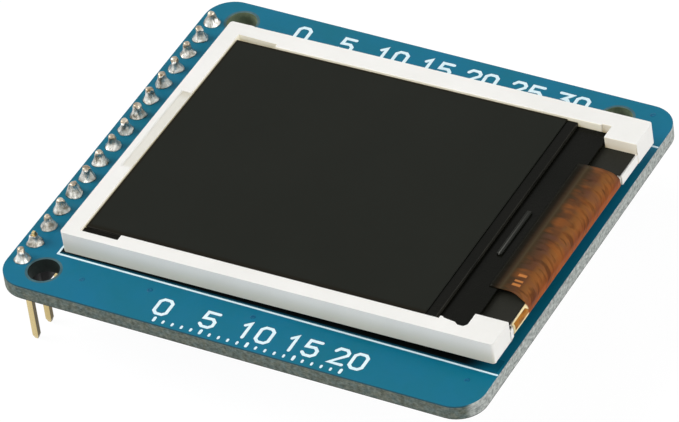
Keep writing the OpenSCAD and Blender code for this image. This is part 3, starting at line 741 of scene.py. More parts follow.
# Painted shade: darker past the fold, where the tab turns under the display.
tab = mix(tree, step_up(tree, along, *FOLDED_UNDER), tab, linear(110, 70, 34))
tab_side = step_down(tree, across, TAB_EDGE - 0.1, TAB_EDGE + 0.15)
film = mix(tree, times(tree, tab_side, step_up(tree, along, TAB_START - 0.1, TAB_START)), film, tab)


def near(value, middle, half):
    """1 within half of the middle, 0 past it."""
    distance = calc(tree, "ABSOLUTE", calc(tree, "SUBTRACT", value, middle))
    return step_down(tree, distance, half - PAD_SOFT, half + PAD_SOFT)


pads = [times(tree, near(along, a, half_long), near(across, b, half_wide))
        for a, b, half_long, half_wide in PADS]
film = mix(tree, times(tree, chain(tree, "MAXIMUM", *pads), PAD_STRENGTH), film, linear(196, 126, 68))
height = calc(tree, "ADD", times(tree, narrow, 1.5), times(tree, smudge, 0.8))
feed(tree, shader, {"Base Color": film, "Roughness": remap(tree, smudge, 0.28, 0.45),
                    "Normal": bump(tree, height, 0.03), "Specular IOR Level": 0.045})
looks["cable_film"] = cable_film
print("pads on the cable:", len(PADS), "materials so far:", len(bpy.data.materials))

# %% [markdown]
# ## Circuit board
# A real board is routed from a large sheet: flat faces with crisp, slightly broken edges, and holes
# drilled through. It is one plate with rounded corners and a very small rim. Round each mounting hole the
# lacquer stops short and shows a narrow ring, so a circle is given to the triangulation as a guide and the
# faces inside it get another finish.

# %% Board
BOARD_CORNER, BOARD_RIM = 3.0, 0.03
HOLE_RADIUS, RING_RADIUS, PIN_HOLE_RADIUS = 1.55, 1.84, 0.5
HOLE_FROM_LEFT, HOLE_FROM_RIGHT, HOLE_FROM_BACK = 4.2, 5.8, 2.9
hole_y = board_high[1] - HOLE_FROM_BACK
left_x, right_x = board_low[0] + HOLE_FROM_LEFT, board_high[0] - HOLE_FROM_RIGHT
hole_spots = [(left_x, -hole_y), (left_x, hole_y), (right_x, hole_y)]
outline = rounded_rectangle(board_low[:2], board_high[:2], BOARD_CORNER, 12)
holes = [circle(c, HOLE_RADIUS) for c in hole_spots]
holes += [circle(c[:2], PIN_HOLE_RADIUS, 16) for c in pin_centres]
rings = [circle(c, RING_RADIUS) for c in hole_spots]


def board_paint(points):
    """Finish of a flat face by its place: 2 inside a ring round a mounting hole, else the lacquer, 0."""
    distance = np.min([np.linalg.norm(points - c, axis=1) for c in hole_spots], axis=0)
    return np.where(distance < RING_RADIUS, 2, 0)


board_looks = [looks[name] for name in ("solder_mask", "laminate_edge", "bare_laminate", "drilled_hole_wall")]
board_chunks = plate(outline, BOARD_BOTTOM, BOARD_TOP, BOARD_RIM, holes, 3, (0, 1, 0, 3), rings, board_paint)
board = piece("board", board_chunks, board_looks, replaces=("circuit_board",))
print("board faces:", len(board.data.polygons))

# %% [markdown]
# ### Lines and figures printed on the board
# Board printing is drawn with a round pen of one width, so each mark here is a path with a width: the
# path's two sides are moved apart by half the width, and each end is closed by a half circle. Figures 0
# to 9 are such paths on a grid four units wide and six high. The marks are a few hundredths of a
# millimetre proud of the lacquer, as real ink is.

# %% Pen strokes
FIGURES = {
    "0": [[(3, 6), (1, 6), (0, 5), (0, 1), (1, 0)], [(1, 0), (3, 0), (4, 1), (4, 5), (3, 6)]],
    "1": [[(0.8, 4.8), (2.2, 6), (2.2, 0)]],
    "2": [[(0, 4.8), (0.9, 6), (3.1, 6), (4, 5), (4, 4), (0, 0), (4, 0)]],
    "3": [[(0, 6), (4, 6), (1.8, 3.6), (3.2, 3.4), (4, 2.4), (4, 1.2), (3, 0), (1, 0), (0, 1)]],
    "4": [[(3.1, 0), (3.1, 6), (0, 2)], [(0, 2), (4.2, 2)]],
    "5": [[(4, 6), (0.4, 6), (0.2, 3.4), (3, 3.6), (4, 2.6), (4, 1), (3, 0), (1, 0), (0, 0.9)]],
    "6": [[(3.6, 6), (1.4, 5), (0, 3), (0, 1), (1, 0)],
          [(1, 0), (3, 0), (4, 1), (4, 2.4), (3, 3.4), (0.4, 3.2)]],
    "7": [[(0, 6), (4, 6), (1.4, 0)]],
    "8": [[(1, 3.2), (0, 4.2), (0, 5.2), (1, 6), (3, 6), (4, 5.2), (4, 4.2), (3, 3.2)],
          [(1, 3.2), (3, 3.2), (4, 2.2), (4, 1), (3, 0)], [(3, 0), (1, 0), (0, 1), (0, 2.2), (1, 3.2)]],
    "9": [[(0.4, 0), (2.6, 1), (4, 3), (4, 5), (3, 6)],
          [(3, 6), (1, 6), (0, 5), (0, 3.6), (1, 2.6), (3.6, 2.8)]],
}


def stroke(path, width):
    """Outline of a pen path: points at plus and minus half the width, mitred bends and round ends."""
    path = np.asarray(path, float)
    ahead = np.diff(path, axis=0)
    ahead /= np.linalg.norm(ahead, axis=1)[:, None]
    both = np.vstack([ahead[:1], ahead]) + np.vstack([ahead, ahead[-1:]])
    normal = np.stack([-both[:, 1], both[:, 0]], 1)
    normal /= np.maximum((normal ** 2).sum(1), 0.8)[:, None] / 2
    half = width / 2
    turn = np.linspace(-math.pi / 2, math.pi / 2, 7)[1:-1, None]
    caps = [p + half * (np.cos(turn) * d + np.sin(turn) * np.array([-d[1], d[0]]))
            for p, d in ((path[-1], ahead[-1]), (path[0], -ahead[0]))]
    return np.concatenate([path - half * normal, caps[0], (path + half * normal)[::-1], caps[1]])


def figures(text, centre, height, width):
    """Outlines of a number written round a centre, each figure 4 by 6 units with 2 units between."""
    unit = height / 6
    total = (6 * len(text) - 2) * unit
    return [stroke(np.array(path) * unit + [n * 6 * unit - total / 2, -height / 2] + centre, width)
            for n, letter in enumerate(text) for path in FIGURES[letter]]


print("a 10 is drawn with", len(figures("10", (0, 0), 2.0, 0.3)), "strokes")

# %% [markdown]
# The marks on top are a line round the display's place and two plain millimetre scales. Strokes that
# cross in one plane would fight for the same surface, so every second one is a hair thicker.

# %% Frame lines and scales
INK_THICK, INK_SUNK, CROSSING = 0.02, 0.002, 0.004
LINE, FRONT_LINE_Y, BACK_LINE_Y, LEFT_LINE_X = 0.21, -17.37, 17.28, -21.60
SHORT_TICK, LONG_PEN, SHORT_PEN = 0.55, 0.9, 0.7
line_end = board_high[0] - 0.15


def printed(name, shapes, surface, look="silkscreen_ink", thick=INK_THICK, up=True):
    """One piece of ink or copper on a face of the board, on its top or on its underside."""
    chunks = []
    for n, shape in enumerate(shapes):
        proud = thick + CROSSING * (n % 2)
        chunks += plate(shape, surface - (INK_SUNK if up else proud), surface + (proud if up else INK_SUNK))
    return piece(name, chunks, [looks[look]])


def scale(start, ticks, pitch, long_every, tick, numbers_at, number_height, width):
    """A row of ticks at an even pitch, with a number over each long one."""
    shapes = []
    for n in range(ticks + 1):
        long_tick = n % long_every == 0
        x, y = start[0] + n * pitch, start[1]
        reach = tick * (1.0 if long_tick else SHORT_TICK)
        shapes.append(stroke([(x, y), (x, y + reach)], width * (LONG_PEN if long_tick else SHORT_PEN)))
        if long_tick:
            shapes += figures(str(n), np.array([x, numbers_at]), number_height, width)
    return shapes


marks = [
    stroke([(LEFT_LINE_X, BACK_LINE_Y), (LEFT_LINE_X, FRONT_LINE_Y), (line_end, FRONT_LINE_Y)], LINE),
    stroke([(LEFT_LINE_X + 0.3, BACK_LINE_Y), (line_end, BACK_LINE_Y)], LINE),
]
marks += scale((-8.2, -22.40), 20, 1.0, 5, 0.40, -20.42, 2.0, 0.34)
marks += scale((-15.0, 18.2), 30, 1.0, 5, 0.9, 20.45, 1.9, 0.36)
printed("board_printing", marks, BOARD_TOP)
print("printed marks:", len(marks))

# %% [markdown]
# ### Black film and painted shadow
# A strip of thin black film lies on the board along the display's front edge, and its black also paints
# the shadow under the frame's front edge. It is a plate a few hundredths of a millimetre thick, as long as
# the frame line. Its right end and its front edge fade from black into the board's blue, by a step along x
# and a step along y: a painted soft edge of that shadow.

# %% Film strip
FILM_GAP, FILM_BACK, FILM_RIGHT, FILM_THICK = 0.02, -15.4, 25.6, 0.03
SHADOW_FADE_FROM, SHADOW_FADE_FULL, SHADOW_EDGE_FADE = 22.0, 24.8, 0.3
film_front = FRONT_LINE_Y + LINE / 2 + FILM_GAP
tree, socket, black = base_colour(looks["black_film_and_shade"])
x, y, z = place_mm(tree)
# Painted shadow edge: the black fades into blue at the right end and at the front edge.
shadow_fade = calc(tree, "MAXIMUM", step_up(tree, x, SHADOW_FADE_FROM, SHADOW_FADE_FULL),
            step_down(tree, y, film_front - 0.05, film_front + SHADOW_EDGE_FADE))
tree.links.new(mix(tree, shadow_fade, black, (0.0036, 0.095, 0.155, 1)), socket)
film_left = LEFT_LINE_X + LINE / 2 + FILM_GAP
film_outline = rounded_rectangle((film_left, film_front), (FILM_RIGHT, FILM_BACK), 0.1, 3)
strip = plate(film_outline, BOARD_TOP, BOARD_TOP + FILM_THICK)
piece("film_strip", strip, [looks["black_film_and_shade"]])
print("film strip", round(FILM_BACK - film_front, 2), "mm wide")

# %% [markdown]
# ### Vias
# A via is a small plated hole that joins the copper of both faces. The lacquer sinks into it and leaves a
# shallow crater with a raised lip. The crater is a curve turned round an axis: its height over the board
# rises to the lip, then falls to the middle.

# %% Vias
VIA_RADIUS, VIA_LIP = 0.3, 0.03
TOP_VIAS = [(-17.53, -19.79), (-10.62, -18.74), (0.49, -18.53), (23.41, -18.95), (23.25, 21.53), (24.4, 8.5),
            (24.6, -6.2)]
UNDER_VIAS = [(-18.5, 3.0), (-14.2, 6.3), (-13.6, -8.4), (-15.9, -14.6), (-9.5, 16.5), (-6.2, -17.2),
              (3.5, 18.4), (13.0, -18.8), (-19.3, -3.5), (-12.0, 0.8)]


def crater(centre, surface, up, sides=14):
    """Six rings: their radii and heights are shares of the via's radius and of the lip's height."""
    radius = VIA_RADIUS * np.array([1.0, 0.85, 0.68, 0.5, 0.3, 0.1])
    height = VIA_LIP * np.array([0.0, 0.75, 1.0, 0.55, 0.15, 0.05]) * up
    angle = np.linspace(0, 2 * math.pi, sides, endpoint=False) * up
    unit = np.stack([np.cos(angle), np.sin(angle)], 1)
    rings = np.concatenate([np.column_stack([unit * r + centre, np.full(sides, surface + h)])
                            for r, h in zip(radius, height)])
    cap = np.arange(sides)[None] + sides * (len(radius) - 1)
    return [(rings, ring_faces(len(radius), sides), True, 0), (rings, cap, True, 0)]


craters = [c for v in TOP_VIAS for c in crater(v, BOARD_TOP, 1)]
craters += [c for v in UNDER_VIAS for c in crater(v, BOARD_BOTTOM, -1)]
piece("vias", craters, [looks["via_mask"]])
print("vias:", len(TOP_VIAS), "on top and", len(UNDER_VIAS), "below")

# %% [markdown]
# ### Copper tracks
# Under the lacquer, copper tracks stand a few hundredths of a millimetre proud and make the blue deeper.
# Each track is a pen path with bends of 45 degrees. They run from the pins to the parts underneath.

# %% Tracks on the underside
TRACK_WIDTH, TRACK_THICK = 0.32, 0.035
FIRST_LEAD, LEAD_STEP = 1.6, 0.45
contact_low, contact_high = box_mm("card_contacts")
contact_y = np.linspace(contact_low[1] + 0.45, contact_high[1] - 0.45, 9)
pin_x = pin_centres[0][0]


def track(pin, end, lead):
    """A path from a pin that leaves straight along X, crosses at 45 degrees and arrives straight along X."""
    start_y = pin_centres[pin][1]
    turn_x = pin_x + lead
    return [(pin_x, start_y), (turn_x, start_y), (turn_x + abs(end[1] - start_y), end[1]), end]


routes = [track(pin, (contact_low[0] - 0.1, contact_y[contact]), FIRST_LEAD + LEAD_STEP * abs(pin - 8))
          for pin, contact in ((3, 1), (4, 2), (9, 5), (10, 6), (12, 8))]
routes += [track(1, (-11.0, -17.6), 1.8), track(14, (-9.5, 16.5), 1.0), track(2, (-15.9, -14.6), 1.4)]
routes += [[(-11.0, -17.6), (-9.0, -19.6), (14.0, -19.6), (15.5, -21.1), (22.0, -21.1)],
           [(-9.5, 16.5), (3.5, 16.5), (5.4, 18.4), (21.0, 18.4)]]
strokes = [stroke(r, TRACK_WIDTH) for r in routes]
printed("copper_tracks", strokes, BOARD_BOTTOM, "solder_mask_over_copper", TRACK_THICK, up=False)
print("tracks:", len(routes))

# %% [markdown]
# The underside has pin numbers beside the solder side of the header and a rectangle that marks a part's
# place. They read the right way round from underneath, so they are mirrored in X about their own middle,
# and turned to keep their winding.

# %% Printing on the underside
PIN_NUMBER_HEIGHT, PIN_NUMBER_PEN, PART_PEN = 1.0, 0.17, 0.16
NUMBER_FROM_PIN, END_NUMBER_FROM_PIN = 2.3, 5.6
PART_PLACE = [(-18.5, 7.0), (-13.0, 7.0), (-13.0, 11.0), (-18.5, 11.0), (-18.5, 7.01)]
below = []
for n, centre in enumerate(pin_centres):
    beside = pin_x + (END_NUMBER_FROM_PIN if n in (0, 15) else NUMBER_FROM_PIN)
    for shape in figures(str(n + 1), np.array([beside, centre[1]]), PIN_NUMBER_HEIGHT, PIN_NUMBER_PEN):
        below.append(((shape - [beside, 0]) * [-1, 1] + [beside, 0])[::-1])
below.append(stroke(PART_PLACE, PART_PEN))
printed("underside_printing", below, BOARD_BOTTOM, up=False)
print("marks below:", len(below))

# %% [markdown]
# ## Header pins
# A header pin is square wire, cut to a blunt point and plated. Its corners are slightly round, so its
# section here is a square with four small chamfers, carried up the pin; at each end the section shrinks.
# Two opposite sides, facing +X and -X, take a darker copy of the gold: painted shade.

# %% Pins
PIN_HALF, PIN_CHAMFER, PIN_TAPER, PIN_TIP, UPPER_HALF = 0.32, 0.06, 0.5, 0.128, 0.25
TIP_ROUND, TIP_SPREAD = 0.04, 0.035


def pin_chunks(low, high):
    """Eight-sided rings at (height, half width): the tip, the end of the taper, and the same at the top."""
    x, y = (low[0] + high[0]) / 2, (low[1] + high[1]) / 2
    a, b = PIN_HALF, PIN_HALF - PIN_CHAMFER
    section = np.array([(a, -b), (a, b), (b, a), (-b, a), (-a, b), (-a, -b), (-b, -a), (b, -a)]) / PIN_HALF
    stations = [(low[2], PIN_TIP), (low[2] + TIP_ROUND, PIN_TIP + TIP_SPREAD), (low[2] + PIN_TAPER, PIN_HALF),
                (BOARD_TOP + 0.1, PIN_HALF), (BOARD_TOP + 0.4, UPPER_HALF), (high[2] - PIN_TAPER, UPPER_HALF),
                (high[2] - TIP_ROUND, PIN_TIP + TIP_SPREAD), (high[2], PIN_TIP)]
    rings = np.concatenate([np.column_stack([section * half + [x, y], np.full(8, z)]) for z, half in stations])
    ends = np.stack([np.arange(8)[::-1], np.arange(8) + 8 * (len(stations) - 1)])
    faces = ring_faces(len(stations), 8)
    # Painted shade: the sides facing +X and -X get the darker gold.
    shaded_sides = faces[:, 0] % 8 % 4 == 0
    return [(rings, faces[~shaded_sides], False, 0), (rings, faces[shaded_sides], False, 1), (rings, ends, False, 0)]


pin_looks = [looks["gold_plate"], looks["gold_plate_shaded"]]
for n, (low, high) in enumerate(pin_boxes, 1):
    chunks = pin_chunks(low, high)
    piece(f"pin_{n:02d}", chunks, pin_looks, replaces=(f"header_pin_{n:02d}",))
print("pins:", len(pin_boxes))

# %% [markdown]
# ## Solder joints
# The solder was put on by hand: each joint is a hollow-sided cone round its pin, and no two are alike. Its
# radius falls with height as a power curve, and a few sine waves round it, with phases drawn from a seeded
# generator, make it lumpy. On most pins the solder runs up over the tip and is thinner there, so the gold
# shows through a little: those faces get a second finish.

# %% Shape of a solder joint
FOOT, JOINT_SIDES, CONE_RINGS, STUB_RINGS, BARE_JOINT = 0.88, 32, 13, 9, 2
JOINT_SUNK, BARE_TIP, OVER_TIP = 0.01, 0.42, 0.04
TWIST, WOBBLE, TILT, LEAST_LUMP = 2.5, 0.09, 0.12, 0.35
WAVES = ((1, 0.07), (2, 0.10), (3, 0.15), (4, 0.06), (5, 0.07), (8, 0.03))
joint_angle = np.linspace(0, 2 * math.pi, JOINT_SIDES, endpoint=False)[None]


def joint_surface(centre, tip, random, bare):
    """Radius = neck + (foot - neck)(1 - t)^p for t from 0 to 1, then a stub that narrows over the pin's tip
    for t from 1 to 2; all times 1 + the sum of a_k sin(k angle + phase + twist t). A bare one stops below the
    tip. Gives the grid of points, and the neck's radius."""
    cone, stub = np.linspace(0, 1, CONE_RINGS), np.linspace(0, 1, STUB_RINGS)[1:]
    t = np.concatenate([cone, 1 + stub])[:, None]
    power, neck, cone_height = random.uniform(1.5, 2.3), random.uniform(0.37, 0.43), random.uniform(0.85, 1.3)
    top = tip - BARE_TIP if bare else tip + OVER_TIP
    cone_radius = neck + (FOOT - neck) * (1 - cone) ** power
    stub_radius = neck * (1 - 0.2 * stub) * np.sqrt(1 - 0.9 * stub ** 6)
    lumps = np.zeros((len(t), JOINT_SIDES))
    for k, size in WAVES:
        height_of_wave = size * random.uniform(0.5, 1.0)
        phase, twist = random.uniform(0, 2 * math.pi), random.uniform(-TWIST, TWIST)
        lumps += height_of_wave * np.sin(k * joint_angle + phase + twist * t)
    strength = LEAST_LUMP + 0.9 * np.sin(math.pi * np.clip(t / 1.5, 0, 1))
    swell = 1 + lumps * strength
    radius = np.concatenate([cone_radius, stub_radius])[:, None] * swell
    height = np.concatenate([cone_height * cone, cone_height + (top - cone_height) * stub])[:, None]
    height = height + WOBBLE * np.sin(2 * joint_angle + random.uniform(0, 6)) * np.clip(t * (1.6 - t), 0, 1)
    tilt = random.uniform(-TILT, TILT, 2)
    sway = np.clip(t * (1.5 - t), 0, 1)
    x = centre[0] + radius * np.cos(joint_angle) + tilt[0] * sway
    y = centre[1] + radius * np.sin(joint_angle) + tilt[1] * sway
    return np.stack([x, y, BOARD_TOP - JOINT_SUNK + height], -1), neck


print("points on a joint:", (CONE_RINGS + STUB_RINGS - 1) * JOINT_SIDES)

# %% [markdown]
# The grid of points becomes quads, and two fans of triangles close it. Each joint takes the place of its
# plain one in the CAD model. All of them draw from one seeded generator in the order of the pins, so the
# lumps are the same each time.

# %% Joints
def joint_chunks(centre, tip, random, bare):
    """The joint's grid, a fan of triangles under it and one over it; the thin faces are high up the stub."""
    grid, neck = joint_surface(centre, tip, random, bare)
    count, last = len(grid), (len(grid) - 1) * JOINT_SIDES
    ends = [[*centre[:2], BOARD_TOP - JOINT_SUNK], [*centre[:2], grid[-1, :, 2].mean() + 0.02]]
    points = np.vstack([grid.reshape(-1, 3), ends])
    j = np.arange(JOINT_SIDES)
    k = (j + 1) % JOINT_SIDES
    low_cap = np.stack([k, j, np.full(JOINT_SIDES, len(points) - 2)], 1)
    high_cap = np.stack([j + last, k + last, np.full(JOINT_SIDES, len(points) - 1)], 1)
    faces = ring_faces(count, JOINT_SIDES)
    ring, side = faces[:, 0] // JOINT_SIDES, faces[:, 0] % JOINT_SIDES
    thin = ring + 1.5 * np.sin(3 * joint_angle[0][side] + neck * 50) > CONE_RINGS
    return [(points, faces[~thin], True, 0), (points, faces[thin], True, 1), (points, low_cap, False, 0),
            (points, high_cap, True, 1)]


random = np.random.default_rng(18)
joint_looks = [looks["solder"], looks["tinned_pin"]]
for n, (centre, (low, high)) in enumerate(zip(pin_centres, pin_boxes), 1):
    chunks = joint_chunks(centre, high[2] - BOARD_TOP, random, n == BARE_JOINT)
    piece(f"solder_{n:02d}", chunks, joint_looks, replaces=(f"solder_joint_{n:02d}",))
print("joints:", len(pin_centres), "tips above the board:", round(high[2] - BOARD_TOP, 2), "mm")

# %% [markdown]
# ## Header strip
# The pins stand in one black moulding, which has a shallow waist between each pair of pins, where a longer
# strip would be snapped. Its outline goes down one side, in at each waist, and back up the other.

# %% Header strip
strip_low, strip_high = box_mm("header_strip")
PITCH, WAIST, PIN_FIT = 2.54, 0.35, 0.01
SIDE_STEPS = ((-0.46, 1), (-0.25, 0), (0.25, 0), (0.46, 1))
half_strip = (strip_high[0] - strip_low[0]) / 2
side = np.array([(half_strip - WAIST * s, c[1] + k * PITCH) for c in pin_centres for k, s in SIDE_STEPS])
loop = np.concatenate([side, side[::-1] * [-1, 1]]) + [pin_x, 0]
fit = PIN_HALF + PIN_FIT
pin_squares = [rounded_rectangle(c[:2] - fit, c[:2] + fit, 0.06, 1) for c in pin_centres]
strip_chunks = plate(loop, strip_low[2], strip_high[2], 0.09, pin_squares, 2)
strip_looks = [looks["black_moulding"]]
piece("header_plastic", strip_chunks, strip_looks, replaces=("header_strip",))
print("strip is", round(strip_high[1] - strip_low[1], 1), "mm long")

# %% [markdown]
# ## White backlight frame
# The frame is one moulding. Its shape is already right in the CAD model, but a moulding has no razor
# edges, so this piece is a copy of the CAD mesh with a Bevel modifier. The CAD mesh is loose triangles: the
# copy is merged, and triangles that lie in one plane are joined, so that only real edges get a bevel.

# %% Copies of the CAD mesh with soft edges
FLAT_ANGLE, SHARP_ANGLE, SHORT_EDGE = math.radians(0.5), math.radians(35.0), 0.45


def bevelled_copy(name, sources, width, look, slot, segments=2):
    """Joined copies of CAD meshes, flattened to real edges, with a bevel on those longer than SHORT_EDGE."""
    work = bmesh.new()
    for source in sources:
        work.from_mesh(nodes[source].data)
    weld(work)
    bmesh.ops.dissolve_limit(work, angle_limit=FLAT_ANGLE, verts=work.verts, edges=work.edges)
    weight = work.edges.layers.float.new("bevel_weight_edge")
    for edge in work.edges:
        sharp = len(edge.link_faces) == 2 and edge.calc_face_angle(0.0) > SHARP_ANGLE
        edge[weight] = 1.0 if sharp and edge.calc_length() > SHORT_EDGE * MM else 0.0
    mesh = bpy.data.meshes.new(name)
    work.to_mesh(mesh)
    work.free()
    mesh.materials.clear()
    mesh.materials.append(looks[look])
    mesh.polygons.foreach_set("material_index", np.zeros(len(mesh.polygons), np.int32))
    made = in_scene(name, mesh)
    bevel = made.modifiers.new("soft_edges", "BEVEL")
    bevel.width, bevel.segments, bevel.limit_method = width * MM, segments, "WEIGHT"
    bevel.use_clamp_overlap, bevel.harden_normals = False, False
    return hand_over(made, sources)


frame_piece = bevelled_copy("frame_moulding", ["backlight_frame"], 0.07, "white_plastic", "white_plastic")
print("frame faces:", len(frame_piece.data.polygons))

# %% [markdown]
# ### Painted shade on the moulding
# The white plastic also reads where it is on the display, along the display's own axes. The shallow recess
# in its left wall is painted duller and creamier as shade, most at its back end, and the front wall is
# painted a little darker towards the board, as shade. Each shade is a mask times a colour, multiplied
# into the plastic's own.

# %% White plastic: painted shade in the recess and on the low walls
RECESS_V, RECESS_U, SHADED_END = (10.75, 22.9), (0.7, 1.8), 1.3
SHADED_LOW_WALL, FACING = (0.1, 2.2), (0.3, 0.8)
PLAIN_WHITE = (1, 1, 1, 1)


def display_place(tree, corner=(0, 0, 0)):
    """Millimetres along, across and above the display, from a display-local corner."""
    sockets = {0: coordinates_mm(tree), 1: tuple(on_display(corner))}
    from_corner = add(tree, "VectorMath", sockets, operation="SUBTRACT").outputs[0]
    return [along_axis(tree, from_corner, axis) for axis in display_axes]


def along_axis(tree, vector, axis):
    """How far a vector points along an axis: their dot product."""
    return add(tree, "VectorMath", {0: vector, 1: tuple(axis)}, operation="DOT_PRODUCT").outputs["Value"]


tree, socket, plastic = base_colour(looks["white_plastic"])
local_u, local_v, local_w = display_place(tree)
# Painted shade: the recess is duller and creamier, most towards its back end.
inside_v = times(tree, step_up(tree, local_v, RECESS_V[0] - 0.05, RECESS_V[0] + 0.4),
                 step_down(tree, local_v, RECESS_V[1] - 0.05, RECESS_V[1]))
inside_u = times(tree, step_up(tree, local_u, RECESS_U[0] - 0.02, RECESS_U[0] + 0.1),
                 step_down(tree, local_u, RECESS_U[1] - 0.05, RECESS_U[1] + 0.05))
shade_to_back_end = step_up(tree, local_v, RECESS_V[1] - SHADED_END, RECESS_V[1] - 0.1)
recess_shade = mix(tree, shade_to_back_end, (0.86, 0.85, 0.80, 1), (0.72, 0.69, 0.60, 1))
recess_shade = mix(tree, times(tree, inside_u, inside_v), PLAIN_WHITE, recess_shade)
wall_normal = add(tree, "NewGeometry").outputs["Normal"]
to_front = step_up(tree, along_axis(tree, wall_normal, -display_axes[1]), *FACING)
to_right = step_up(tree, along_axis(tree, wall_normal, display_axes[0]), *FACING)
# Painted shade: the front wall is darker towards the board.
shaded_low_front = times(tree, step_down(tree, local_w, *SHADED_LOW_WALL), to_front)
low_wall_shade = mix(tree, shaded_low_front, PLAIN_WHITE, (0.76, 0.73, 0.64, 1))
toned = mix(tree, 1.0, mix(tree, 1.0, plastic, low_wall_shade, "MULTIPLY"), recess_shade, "MULTIPLY")
tree.links.new(toned, socket)
print("recess in the left wall:", round(RECESS_V[1] - RECESS_V[0], 2), "mm long")

# %% [markdown]
# ### Painted light on the inner walls
# The inner faces of the white walls are made to glow a little, in cream, by the material's emission:
# painted light that brightens them. Two masks find those faces by the way they face and by where they
# are: the back wall's faces the front, and the left wall's faces right. Past the panel's end the painted
# glow is weaker and browner.

# %% White plastic: painted glow of the inner walls
BACK_WALL_FROM, LEFT_WALL_FROM, LEFT_WALL_TO, PAST_PANEL = (30.0, 30.2), (1.6, 1.7), (1.9, 2.1), (42.0, 42.4)
# Painted light: emission makes these inner faces glow, though they are no lamp.
back_wall = times(tree, to_front, step_up(tree, local_v, *BACK_WALL_FROM))
left_wall = times(
    tree, to_right, step_down(tree, local_u, *LEFT_WALL_TO), step_up(tree, local_u, *LEFT_WALL_FROM))
painted_glow_mask = calc(tree, "MAXIMUM", back_wall, left_wall)
painted_glow_tone = mix(tree, step_up(tree, local_u, *PAST_PANEL), (0.22, 0.185, 0.09, 1), (0.14, 0.095, 0.02, 1))
glow = mix(tree, painted_glow_mask, (0, 0, 0, 1), painted_glow_tone)
feed(tree, tree.nodes["Principled BSDF"], {"Emission Color": glow, "Emission Strength": 1.0})
print("white plastic has", len(tree.nodes), "nodes")

# %% [markdown]
# ### Darker band along the film's edges
# Along its left, front and back edges the polarizing film is a darker and warmer band than further in. A
# step in from each of the three walls, multiplied, is 1 further in.

# %% Polarizer border
EDGE_BAND_WIDE, SOFT = 0.4, 0.1
left_in, front_in = WALL_LEFT + EDGE_BAND_WIDE, WALL_FRONT + EDGE_BAND_WIDE
back_in = FRAME_WIDTH - WALL_BACK - EDGE_BAND_WIDE
tree, socket, film_colour = base_colour(looks["polarizer_film"])
local_u, local_v = display_place(tree)[:2]
inner_area = times(
    tree, step_up(tree, local_u, left_in - SOFT, left_in + SOFT),
    step_up(tree, local_v, front_in, front_in + 0.4), step_down(tree, local_v, back_in - SOFT, back_in + SOFT))
tree.links.new(mix(tree, inner_area, (0.0058, 0.0046, 0.0012, 1), film_colour), socket)
print("border:", EDGE_BAND_WIDE, "mm wide")

# %% [markdown]
# ## Glass panel
# The panel is two thin glass plates with liquid crystal between them, a polarizing film above and one
# below. The edges of the plates are cut and slightly ground, so they are paler and browner than the faces.
# The lower plate is longer: its bare end carries the driver chip.

# %% Plates of the panel
def flat_box(low, high):
    """Outline of a plate with very small corners, in display-local millimetres."""
    return rounded_rectangle(low, high, 0.04, 2)


panel_low, panel_back = (WALL_LEFT + PLAY, WALL_FRONT + PLAY), FRAME_WIDTH - WALL_BACK - PLAY
GLASS_END, FILTER_END, POL_END = 43.25, 39.85, 38.75
# Name, CAD node, right end, lowest and highest w, rim, finish of the faces, finish of the edge, slot.
PANEL_LAYERS = [
    ("lower_plate", "lower_glass", GLASS_END, GLASS_Z, LEDGE_Z, 0.05, "panel_glass", "panel_glass",
     "panel_glass"),
    ("upper_plate", "upper_glass", FILTER_END, LEDGE_Z, FILTER_TOP, 0.05, "panel_glass", "cut_glass_edge",
     "panel_glass"),
    ("top_polarizer", "front_polarizer", POL_END, FILTER_TOP, POL_TOP, 0.07, "polarizer_film", "polarizer_film",
     "polarizer"),
]
for name, node, end, low, high, rim, face_look, edge_look, slot in PANEL_LAYERS:
    layer = plate(flat_box(panel_low, (end, panel_back)), low, high, rim, (), 2, (0, 1, 0, 1))
    piece(name, layer, [looks[face_look], looks[edge_look]], on_display, (node,))
print("layers of the panel:", len(PANEL_LAYERS))

# %% [markdown]
# At two corners the frame's opening is a little larger than the panel, and the black tape on the shelf
# shows there. Each is a small plate of tape beside the panel that stands above the shelf, the front one
# nearly to the film's top, so its black also paints the shade of the deep pocket.

# %% Tape in the corner pockets
POCKET_RIGHT, POCKET_FRONT, POCKET_BACK = WALL_LEFT + 4.15, WALL_FRONT - 0.75, FRAME_WIDTH - WALL_BACK + 0.45
GAP, UNDER_EDGE, BACK_LONGER = 0.02, 0.04, 0.3
tape_left, tape_low = WALL_LEFT + GAP, SHELF_Z + 0.005
back_tape_front = FRAME_WIDTH - WALL_BACK - UNDER_EDGE
# Painted shade: the plates stand high in the pockets, so their black fills the pockets' shade.
tapes = [((tape_left, POCKET_FRONT + GAP), (POCKET_RIGHT - GAP, WALL_FRONT + UNDER_EDGE), POL_TOP - 0.12),
         ((tape_left, back_tape_front), (POCKET_RIGHT + BACK_LONGER - GAP, POCKET_BACK - GAP), GLASS_Z + 0.25)]
tabs = [c for low, high, top in tapes for c in plate(rounded_rectangle(low, high, 0.05, 2), tape_low, top)]
piece("corner_tape", tabs, [looks["corner_tape_black"]], on_display)
print("corner tapes:", len(tapes))

# %% [markdown]
# The driver chip is a thin bar of black silicon. One long edge of it catches the light, most at the front
# end, so its finish reads the place on the bar: a ramp along it, times a narrow band across it.

